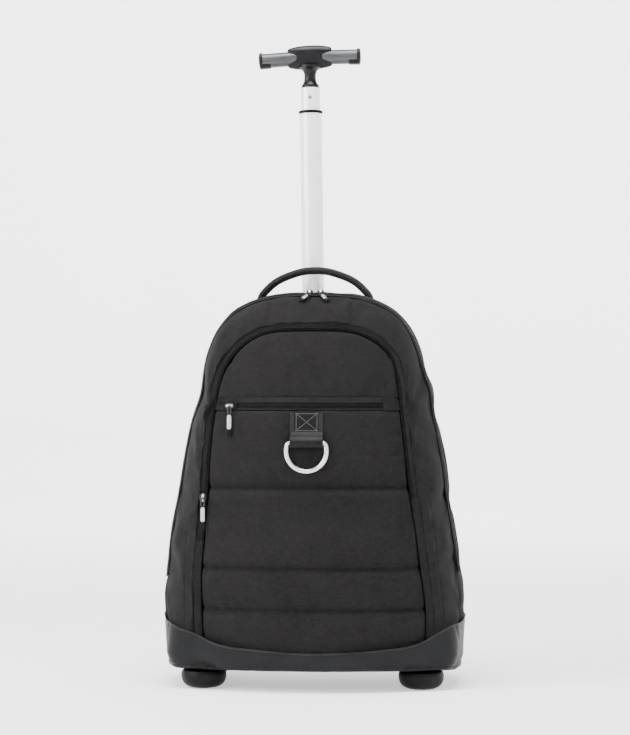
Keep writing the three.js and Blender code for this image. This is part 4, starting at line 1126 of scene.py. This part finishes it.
def build_back(rooms):
    ring = main_rows([1.0], -SHELL_WALL - 0.6)[0]
    rows = []
    for share in (0.999, 0.985, 0.95, 0.85, 0.65, 0.4, 0.15, 0.001):
        x = ring[:, 0] * share
        z = MIDDLE + (ring[:, 2] - MIDDLE) * share
        crowned = 1.6 * min(1, (1 - share) / 0.06) ** 0.5 - 1.6
        rows.append(np.stack([x, REAR_DEPTH - 1.7 + crowned + 0 * x, z], 1))
    panel = Shape().add(*slab(np.stack(rows), 7, True)).mesh_object("back_cushion", SPACER)
    carved(panel, *rooms)
    piece(panel, "back_fabric", stands_for=["back_panel"])
    piping = welt("back_piping", resample(main_rows([1.0], -1.2)[0], 5, True), 2.2, True, PIPING)
    carved(piping, *rooms)
    piece(piping, "body_fabric")

    lying = REAR_DEPTH + 1.2 + 5
    bowed = REAR_DEPTH + 0.3 + 6 + 5 + 20
    for name, side in SIDES:
        pad = cushion(f"back_column_pad_{name}", 57, 258, 5.6, side * 42, REAR_DEPTH + 0.3, 250, SPACER)
        piece(plumped(pad, 1.5, 1.2, 4), "back_fabric", stands_for=[f"back_column_{name}"])
        path = smooth_path([(side * x, mix(lying, bowed, bow), z) for x, bow, z in STRAP_ROUTE], 60)
        pad = Shape().add(*swept(path, flat_band(60, 9.4, 0.8), (1, 0, 0))).mesh_object(f"shoulder_pad_{name}", CLOTH)
        piece(pad, "back_fabric", stands_for=[f"shoulder_strap_{name}"])
        _, across, _ = along_line(path, (1, 0, 0))
        edges = [path + across * way * 29.2 for way in (-1, 1)]
        trim = Shape()
        for edge in edges:
            trim.add(*swept(edge, flat_band(3, 10, 0.8), (1, 0, 0)))
        piece(trim.mesh_object(f"shoulder_binding_{name}", WEBBING), "webbing")
        low, high, sewn = 104, 179, REAR_DEPTH + 1.9
        lock_depth = mix(lying, bowed, 0.36)
        web = smooth_path([
            (side * 86, lock_depth - 0.4, high - 0.6), (side * 98, mix(sewn, lock_depth, 0.63), mix(low, high, 0.64)),
            (side * 112, mix(sewn, lock_depth, 0.25), mix(low, high, 0.27)), (side * 122, sewn, low),
        ], 40)
        strap = Shape().add(*swept(web, flat_band(24.6, 1.9, 0.9), (1, 0, 0)))
        made = strap.mesh_object(f"webbing_strap_{name}", WEBBING)
        piece(made, "webbing", stands_for=[f"strap_webbing_{name}"])
        lock = Shape()
        centre = np.array([side * 86, lock_depth, 192])
        for z, tall in ((11.4, 3.2), (0, 7.2), (-11.4, 3.2)):
            bar = smooth_path([(-16, 0, z), (-8, 0, z), (8, 0, z), (16, 0, z)], 12)
            lock.add(*swept(bar + centre, flat_band(4.8, tall, 0.8), (0, 1, 0)))
        for x in (-14.6, 14.6):
            upright = np.array([(x, 0, z) for z in np.linspace(-12.9, 12.9, 9)]) + centre
            lock.add(*swept(upright, flat_band(4.4, 3.6, 0.8)))
        made = lock.mesh_object(f"ladder_lock_frame_{name}", PLASTIC)
        piece(made, "black_plastic", stands_for=[f"ladder_lock_{name}"])


# Pole and handle

POLE_DEPTH = 56
POLE_CROSSING = 140
LEAN = -radians(0.85)
ROLL = -radians(1.45)
DROOP = radians(1.6)
HANDLE_CENTRE = 760
INNER_RADIUS = 12
MID_RADIUS = 13.65
OUTER_RADIUS = 15.3


def turn_y(points, angle):
    points = np.asarray(points, float)
    x, z = points[:, 0], points[:, 2]
    return np.stack([x * cos(angle) + z * sin(angle), points[:, 1], z * cos(angle) - x * sin(angle)], 1)


def on_pole(points):
    """From the pole's own axis to the bag"""
    leaning = turn_y(np.asarray(points) - np.array([0, 0, POLE_CROSSING]), LEAN)
    return leaning + np.array([0, POLE_DEPTH, POLE_CROSSING])


def on_handle(points):
    return on_pole(turn_y(points, ROLL) + np.array([0, 0, HANDLE_CENTRE]))


def pole_tube(name, radius, wall, low, high, finish, sides=72):
    rim = min(0.4, wall * 0.3)
    profile = [
        (radius - wall, low), (radius - rim, low), (radius, low + rim), (radius, high - rim), (radius - rim, high),
        (radius - wall, high), (radius - wall, low),
    ]
    points, faces = turned(profile, sides)
    return Shape().add(on_pole(points), faces).mesh_object(name, finish, 30)


def rod_handle(profile, side, sides=56):
    points, faces = turned(profile, sides)
    points = turn_y(turn_y(points, side * pi / 2), side * DROOP)
    return on_handle(points), faces


HUB_SECTIONS = [
    {"side": side, "tall": tall, "deep": deep}
    for side, tall, deep in ((0, 1, 1), (0.45, 0.965, 0.93), (0.75, 0.88, 0.8), (0.95, 0.78, 0.67), (1, 0.73, 0.6))
]


def hub_loops():
    """Sections of the arched barrel, lower and thinner towards its ends"""
    tall, deep = column(HUB_SECTIONS, "side", "tall"), column(HUB_SECTIONS, "side", "deep")
    loops = []
    for share in np.sin(np.linspace(-pi / 2, pi / 2, 45)):
        turns = np.linspace(0, 2 * pi, 48, endpoint=False)
        y = np.sign(np.cos(turns)) * np.abs(np.cos(turns)) ** 0.85 * 9.8 * deep(abs(share))
        z = np.sign(np.sin(turns)) * np.abs(np.sin(turns)) ** 0.85 * 15 * tall(abs(share))
        loops.append(np.stack([27 * share + 0 * y, y, z], 1))
    return loops


def build_pole():
    piece(pole_tube("middle_tube", MID_RADIUS, 1.3, 407, 690.5, ALUMINIUM_WITH_PAINTED_SHINE), "pole_aluminium", "mid_stage", ["mid_tube"])
    collar = pole_tube("pole_collar_ring", OUTER_RADIUS - 0.35, 3, 690.8, 693.8, PLASTIC)
    piece(collar, "black_plastic", "mid_stage", ["pole_collar"])
    upper = pole_tube("upper_tube", INNER_RADIUS, 1.3, 460, 722, ALUMINIUM_WITH_PAINTED_SHINE)
    piece(upper, "pole_aluminium", "handle_stage", ["inner_tube"])
    dome = [(0.01, 1.1), (0.9, 1.05), (1.6, 0.8), (2.1, 0.4), (2.2, 0), (0.01, 0)]
    points, faces = turned(dome[::-1], 24)
    points = np.stack([points[:, 0], -points[:, 2] - INNER_RADIUS - 0.1, points[:, 1] + 709.5], 1)
    button = Shape().add(on_pole(points), faces).mesh_object("spring_button", STEEL)
    piece(button, "small_steel", "handle_stage", ["pole_button"])

    hub = Shape()
    points, faces = loft(hub_loops())
    hub.add(on_handle(points), faces)
    block = hub.mesh_object("hub_block", GLOSSY)
    tools = []
    for name, side in SIDES:
        cone = [(0.01, 12.5), (5.7, 12.5), (9.3, 15.6), (9.3, 64), (0.01, 64)]
        tools.append(Shape().add(*rod_handle(cone, side)).mesh_object(f"grip_room_{name}", GLOSSY))
    carved(block, *tools)
    discard(*tools)
    rounded(block, 0.6, 3)
    piece(block, "handle_plastic", "handle_stage", ["handle_hub"])
    stem = [
        (0.01, 722.3), (10.6, 722.3), (11, 722.7), (11, 724.6), (10.5, 725.8), (9.2, 727.6), (8.1, 729.4), (7.5, 732),
        (7.2, 735.4), (7.3, 739), (8.2, 742.4), (10.4, 745), (14, 747), (14, 750), (0.01, 750),
    ]
    points, faces = turned(stem)
    piece(Shape().add(on_pole(points), faces).mesh_object("handle_stem", GLOSSY), "handle_plastic", "handle_stage")
    for name, side in SIDES:
        profile = [(0.01, 12.8), (4.6, 12.8), (5.4, 13.4), (8.4, 15.4), (8.9, 16.2), (8.9, 58.1), (0.01, 58.1)]
        grip = Shape().add(*rod_handle(profile, side)).mesh_object(f"grip_tube_{name}", GRIP_GREY)
        groove = Shape()
        line = turn_y(np.array([(side * x, -9.1, 0.6) for x in np.linspace(17, 57, 24)]), side * DROOP)
        groove.add(*swept(on_handle(line), circle(1.1, 10), (0, 0, 1)))
        tool = groove.mesh_object("groove_tool", GRIP_GREY)
        carved(grip, tool)
        discard(tool)
        piece(grip, "grip_grey", "handle_stage", [f"grip_{name}"])
        cap = [
            (0.01, 58.4), (10.0, 58.4), (10.3, 58.8), (10.3, 60.4), (9.7, 61.7), (8.2, 62.5), (4.5, 63.0), (0.01, 63.0),
        ]
        end = Shape().add(*rod_handle(cap, side))
        lip = [(9.2, 48.6), (9.6, 48.3), (10.0, 48.8), (10.0, 58.8), (9.2, 58.8)]
        loops = []
        for i in range(21):
            way = radians((i - 10) * 5.6)
            loops.append([(side * r * cos(way), r * sin(way), h) for r, h in lip])
        points, faces = loft(loops)
        end.add(on_handle(turn_y(turn_y(points, side * pi / 2), side * DROOP)), faces)
        piece(end.mesh_object(f"grip_cap_{name}", GLOSSY), "handle_plastic", "handle_stage", [f"end_cap_{name}"])


def build_port():
    x = -(469 - POLE_CROSSING) * sin(radians(0.85))
    profile = [
        (16.2, 452), (24.2, 452), (24.2, 466.4), (23.6, 467.8), (22.2, 468.8), (20, 469.1),
        (17.2, 469.1), (16.2, 468.2), (16.2, 452),
    ]
    points, faces = turned(profile)
    ring = Shape().add(points + np.array([x, POLE_DEPTH, 0]), faces).mesh_object("port_ring", PLASTIC)
    piece(ring, "black_plastic", stands_for=["pole_port"])


# Carry handle

CARRY_HALF = 66
CARRY_FOOT = 457.8
CARRY_TOP = 494.8
CARRY_ROUTE = [
    {"out": out, "up": up} for out, up in (
        (0, 1), (0.2, 0.975), (0.47, 0.84), (0.736, 0.611), (0.888, 0.37), (1, 0.12), (1.03, -0.12),
    )
]


def build_carry_handle():
    right = [(CARRY_HALF * row["out"], 17, mix(CARRY_FOOT, CARRY_TOP, row["up"])) for row in CARRY_ROUTE]
    left = [(-x, y, z) for x, y, z in right[:0:-1]]
    path = smooth_path(left + right, 90)
    widths = np.linspace(-1, 1, 90)
    turns = np.linspace(0, 2 * pi, 24, endpoint=False)
    pad = np.stack([12.2 * np.cos(turns), 4.5 * np.sign(np.sin(turns)) * np.abs(np.sin(turns)) ** 0.75], 1)
    scale = 1 - 0.16 * ramp((np.abs(widths) - 0.78) / 0.2)
    made = Shape().add(*swept(path, pad, (0, 1, 0), widths=scale)).mesh_object("carry_handle_pad", WEBBING)
    piece(made, "webbing", stands_for=["carry_handle"])
    _, side, face = along_line(path, (0, 1, 0))
    lines = [
        path[14:-14] + side[14:-14] * way * 10.6 + face[14:-14] * 1.8 * edge
        for way in (-1, 1) for edge in (1, -1)
    ]
    piece(stitches("carry_handle_stitches", lines, 2.4, 3.8, 0.6), "webbing")


# Ring and patch

RING_SHIFT = -3
PATCH_TOP = 324.3


def face_at(height, x=RING_SHIFT):
    up = (height - BAG_BASE - ARC_BASE) / (ARC_SHOULDER - ARC_BASE)
    return float(pocket_depth(np.array([x / ARC_WIDTH * 2]), np.array([up]))[0])


RING_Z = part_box("d_ring")[1].z / MM - 2.8
RING_Y = (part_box("d_ring")[0].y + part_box("d_ring")[1].y) / 2 / MM - SHIFT


def build_ring():
    round_half, tall = 23.2, 32.4
    flat = asin((tall - round_half) / round_half)
    turns = np.linspace(pi - flat, 2 * pi + flat, 90)
    arc = np.stack([round_half * np.cos(turns), round_half - tall + round_half * np.sin(turns)], 1)
    top = np.linspace(arc[-1], arc[0], 34)[1:-1]
    outline = np.concatenate([arc, top])
    for _ in range(4):
        outline = (np.roll(outline, 1, 0) + 2 * outline + np.roll(outline, -1, 0)) / 4
    line = np.stack([RING_SHIFT + outline[:, 0], RING_Y + 0 * outline[:, 0], RING_Z + outline[:, 1]], 1)
    ring = Shape().add(*swept(line, circle(2.8, 18), (0, 1, 0), True)).mesh_object("metal_ring", RING_STEEL)
    piece(ring, "ring_steel", "ring", ["d_ring"])

    loop = 2.8 + 0.9 + 1.25
    points = [(RING_SHIFT, face_at(z) - 1.85, z) for z in np.linspace(PATCH_TOP, PATCH_TOP - 21.7, 8)]
    for angle in range(35, -205, -12):
        way = radians(angle)
        points.append((RING_SHIFT, RING_Y - loop * cos(way), RING_Z + loop * sin(way)))
    points = np.array(points)
    turns = smooth_path(points, 120)
    made = Shape().add(*swept(turns, flat_band(38.6, 2.4, 0.6), (1, 0, 0))).mesh_object("webbing_patch", PATCH)
    piece(made, "webbing", stands_for=["ring_patch"])
    high, low, wide = PATCH_TOP - 2, PATCH_TOP - 21.4, 12
    near, far = RING_SHIFT - wide, RING_SHIFT + wide
    front = [[(near, high), (far, high)], [(near, low), (far, low)]]
    front += [[(near, high), (far, low)], [(far, high), (near, low)]]
    front += [[(near, high), (near, low)], [(far, high), (far, low)]]
    seams = []
    for start, end in front:
        seams.append([(x, face_at(z) - 3.3, z) for x, z in np.linspace(start, end, 10)])
    piece(stitches("patch_stitches", seams, 2.2, 2.5, 0.9, (0, 1, 0), PALE_THREAD), "webbing")
    binding = Shape()
    for x in (-16.6, 16.6):
        edge = [(RING_SHIFT + x, face_at(z) - 3.1, z) for z in np.linspace(PATCH_TOP - 0.6, PATCH_TOP - 24, 10)]
        binding.add(*swept(edge, flat_band(5.0, 1.2, 0.9), (1, 0, 0)))
    piece(binding.mesh_object("patch_edges", PIPING), "webbing")


# Zip sliders

def slider(name, place, tilt, lying=False):
    """Body of a slider on its zip, with a bright bridge for the pull"""
    body = []
    for y, size in ((0, 0.9), (-0.6, 1), (-2.2, 1), (-3.0, 0.86)):
        turns = np.linspace(0, 2 * pi, 24, endpoint=False)
        c, s = np.cos(turns), np.sin(turns)
        r = (np.abs(c) ** 3 + np.abs(s) ** 3) ** (-1 / 3)
        wide = 4 - 0.7 * np.where(s < 0, -s, 0)
        body.append(np.stack([wide * size * r * c, y + 0 * c, 5.3 * size * r * s], 1))
    bridge = smooth_path([(0, -2.6, 4.0), (0, -4.2, 2.8), (0, -4.5, -0.6), (0, -2.7, -3.8)], 16)

    def change(points):
        if lying:
            points = turn_y(points, pi / 2)
        return tip(points, tilt) + np.asarray(place)

    base = Shape().add(*loft(body)).moved(change).mesh_object(f"{name}_runner", DARK_METAL)
    arch = Shape().add(*swept(bridge, flat_band(2.6, 1.0, 0.9), (1, 0, 0)))
    piece(base, "zip_metal", stands_for=[f"{name}_slider"])
    piece(arch.moved(change).mesh_object(f"{name}_bridge", NICKEL), "zip_metal")


def tip(points, angle):
    """Leans points back about X"""
    points = np.asarray(points, float)
    y, z = points[:, 1], points[:, 2]
    return np.stack([points[:, 0], y * cos(angle) - z * sin(angle), y * sin(angle) + z * cos(angle)], 1)


def rounded_tag(top, bottom, width, thick):
    """A flat tag with rounded ends"""
    rows = []
    for share, wide in ((0, 0.5), (0.03, 0.72), (0.09, 0.92), (0.2, 1), (0.82, 1), (0.92, 0.92), (0.975, 0.72), (1, 0.5)):
        z = mix(top, bottom, share)
        rows.append([(x * wide, y * (0.6 if share in (0, 1) else 1), z) for x, y in flat_band(width, thick, 0.9)])
    return loft(rows)


def pull(name, place, length, tilt, splay=0.0):
    """Dark neck loop and dark plate with a bright tag, which hang from a slider"""
    neck, tag_end = -0.27 * length, -0.74 * length
    turns = np.linspace(0, 2 * pi, 36, endpoint=False)
    outline = np.stack([1.9 * np.cos(turns), 0 * turns, neck / 2 + 0.4 + (0.8 - neck / 2) * np.sin(turns)], 1)
    loop = Shape().add(*swept(outline, circle(0.9, 10), (0, 1, 0), True))
    tag = Shape().add(*(rounded_tag(neck, tag_end, 5.4, 2.6)))
    back = Shape().add(*rounded_tag(neck + 2.4, -length, 6.4, 1.7))

    def change(points):
        return tip(turn_y(points, splay), tilt) + np.asarray(place)

    piece(tag.moved(change).mesh_object(f"{name}_tag", NICKEL), "zip_metal", stands_for=[f"{name}_pull"])
    piece(loop.moved(change).mesh_object(f"{name}_neck", DARK_METAL), "small_steel")
    piece(back.moved(change).mesh_object(f"{name}_back", PLASTIC), "black_plastic")


def node_centre(node):
    low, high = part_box(node)
    middle = (low + high) / 2 / MM
    return np.array([middle.x, middle.y - SHIFT, middle.z])


PULL_LEAN = radians(6)
CROWN_LEAN = radians(71)
CROWN_SWING = radians(14)
CROWN_SPLAY = radians(30)


def build_zip_fittings():
    for name, lying, lean in (("pocket_zip", True, PULL_LEAN), ("arc_zip", False, 0)):
        low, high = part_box(f"{name}_slider")
        place = np.array([(low.x + high.x) / 2, high.y, (low.z + high.z) / 2]) / MM - np.array([0, SHIFT, 0])
        slider(name, place, -lean, lying)
        low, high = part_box(f"{name}_pull")
        top = np.array([(low.x + high.x) / 2 / MM, high.y / MM - SHIFT - 0.9, high.z / MM - 1.0])
        pull(name, top, 36, -lean)
    for name, side in SIDES:
        centre = node_centre(f"main_zip_{name}_slider")
        slider(f"main_zip_{name}", centre + tip([[0, 1.8, 0]], -CROWN_LEAN)[0], -CROWN_LEAN)
        top = centre + tip([[0, 0, -7.6]], -CROWN_LEAN)[0]
        pull(f"main_zip_{name}", top, 19, CROWN_SWING - CROWN_LEAN, -side * CROWN_SPLAY)


# Feet and wheels

def build_feet_and_wheels():
    for name, side in SIDES:
        profile = [
            (0.01, 0), (11.6, 0), (12.6, 0.15), (16.5, 0.9), (19.6, 2.1), (22.3, 3.9), (24.3, 6.2), (25.7, 9), (26.5, 12),
            (26.8, 15), (26.6, 18), (25.4, 20.4), (0.01, 20.4),
        ]
        points, faces = turned(profile, 72)
        cup = Shape().add(points + np.array([side * WHEEL_SPAN / 2, FOOT_DEPTH, 0]), faces)
        made = cup.mesh_object(f"foot_cup_{name}", PLASTIC, 50)
        piece(made, "black_plastic", stands_for=[f"front_foot_{name}"])

        profile = [(24.6, -12), (28.4, -12), (29.5, -11.7)]
        tread = [(29.5, -11.7), (31, -10), (31.8, -8.2)]
        for groove in (-6, 0, 6):
            tread += [(32, groove - 1.5), (31.2, groove - 0.8), (31.2, groove + 0.8), (32, groove + 1.5)]
        tread += [(31.8, 8.2), (31, 10), (29.5, 11.7), (28.4, 12), (24.6, 12), (24.6, -12)]
        points, faces = turned(profile[:-1] + tread, 96)
        tyre = Shape().add(across_wheel(points, side), faces).mesh_object(f"wheel_tyre_{name}", RUBBER)
        piece(tyre, "wheel_rubber", f"wheel_{name}", [f"tyre_{name}"])
        hub = [
            (4.3, -12), (8.6, -12), (9.2, -11.4), (9.8, -7.4), (19, -7), (22.4, -7.4), (23.4, -10.4), (24.1, -10.8),
            (24.1, 10.8), (23.4, 10.4), (22.4, 7.4), (19, 7), (9.8, 7.4), (9.2, 11.4), (8.6, 12), (4.3, 12), (4.3, -12),
        ]
        points, faces = turned(hub, 72)
        made = Shape().add(across_wheel(points, side), faces)
        for i in range(6):
            way = 2 * pi * i / 6
            for end in (-1, 1):
                spoke = [(r * cos(way), r * sin(way), end * 7.2) for r in np.linspace(9, 23, 8)]
                points, faces = swept(spoke, flat_band(3.0, 2.0, 0.8), (-sin(way), cos(way), 0))
                made.add(across_wheel(points, side), faces)
        piece(made.mesh_object(f"wheel_rim_{name}", PLASTIC), "black_plastic", f"wheel_{name}", [f"wheel_hub_{name}"])


# Build everything

build_soft_body()
build_port()
build_pole()
build_carry_handle()
build_ring()
build_zip_fittings()
build_feet_and_wheels()

CARRIED = {
    "pocket_divider": LINING, "wheel_housing_left": PLASTIC, "wheel_housing_right": PLASTIC,
    "axle_left": STEEL, "axle_right": STEEL, "outer_tube": ALUMINIUM_WITH_PAINTED_SHINE,
}
for node, finish in CARRIED.items():
    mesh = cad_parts[node].data
    mesh.materials.clear()
    mesh.materials.append(finish)


# Floor and light

def stage_finish():
    paper = Finish("backdrop", Roughness=0.9, Specular_IOR_Level=0.1, Emission_Color=(1, 1, 1, 1), Emission_Strength=0.65)
    tone = paper.spread(paper.grain(2, 2), 0.3, 0.7)
    return paper.paint(Base_Color=paper.blend(tone, (0.94, 0.94, 0.94), (0.97, 0.97, 0.97))).material


def build_stage():
    """A round floor that curves up into a wall far behind every side of the bag"""
    profile = [(4500, 0), (4900, 40), (5300, 220), (5560, 600), (5660, 1200), (5700, 4500)]
    turns = np.linspace(0, 2 * pi, 96, endpoint=False)
    rows = [np.stack([r * np.cos(turns), r * np.sin(turns), z + 0 * turns], 1) for r, z in profile]
    count = len(turns)
    faces = [tuple(range(count))]
    for i in range(len(rows) - 1):
        for j in range(count):
            k = (j + 1) % count
            faces.append((i * count + j, i * count + k, (i + 1) * count + k, (i + 1) * count + j))
    Shape().add(np.concatenate(rows), faces).mesh_object("backdrop", stage_finish(), 80)


def soft_light(name, place, size, power, aim=(0, 0, 0.3), tint=(1, 1, 1)):
    light = bpy.data.lights.new(name, "AREA")
    light.shape = "RECTANGLE"
    light.size, light.size_y = size
    light.energy = power
    light.color = tint
    lamp = bpy.data.objects.new(name, light)
    lamp.location = place
    lamp.rotation_euler = (Vector(aim) - Vector(place)).to_track_quat("-Z", "Y").to_euler()
    bpy.context.scene.collection.objects.link(lamp)


def build_light():
    world = bpy.data.worlds.new("studio")
    bpy.context.scene.world = world
    world.use_nodes = True
    world.node_tree.nodes["Background"].inputs["Color"].default_value = (1, 1, 1, 1)
    world.node_tree.nodes["Background"].inputs["Strength"].default_value = 0.2
    soft_light("key", (-2.2, -1.3, 1.7), (1.2, 1.4), 90)
    soft_light("fill", (1.9, -1.5, 1.4), (1.4, 1.6), 5)
    soft_light("top", (0.0, -0.5, 2.6), (1.6, 1.2), 120)
    soft_light("backdrop_wash", (0, 2.6, 2.8), (4.0, 1.5), 260, (0, 5.2, 0.8))


build_stage()
build_light()
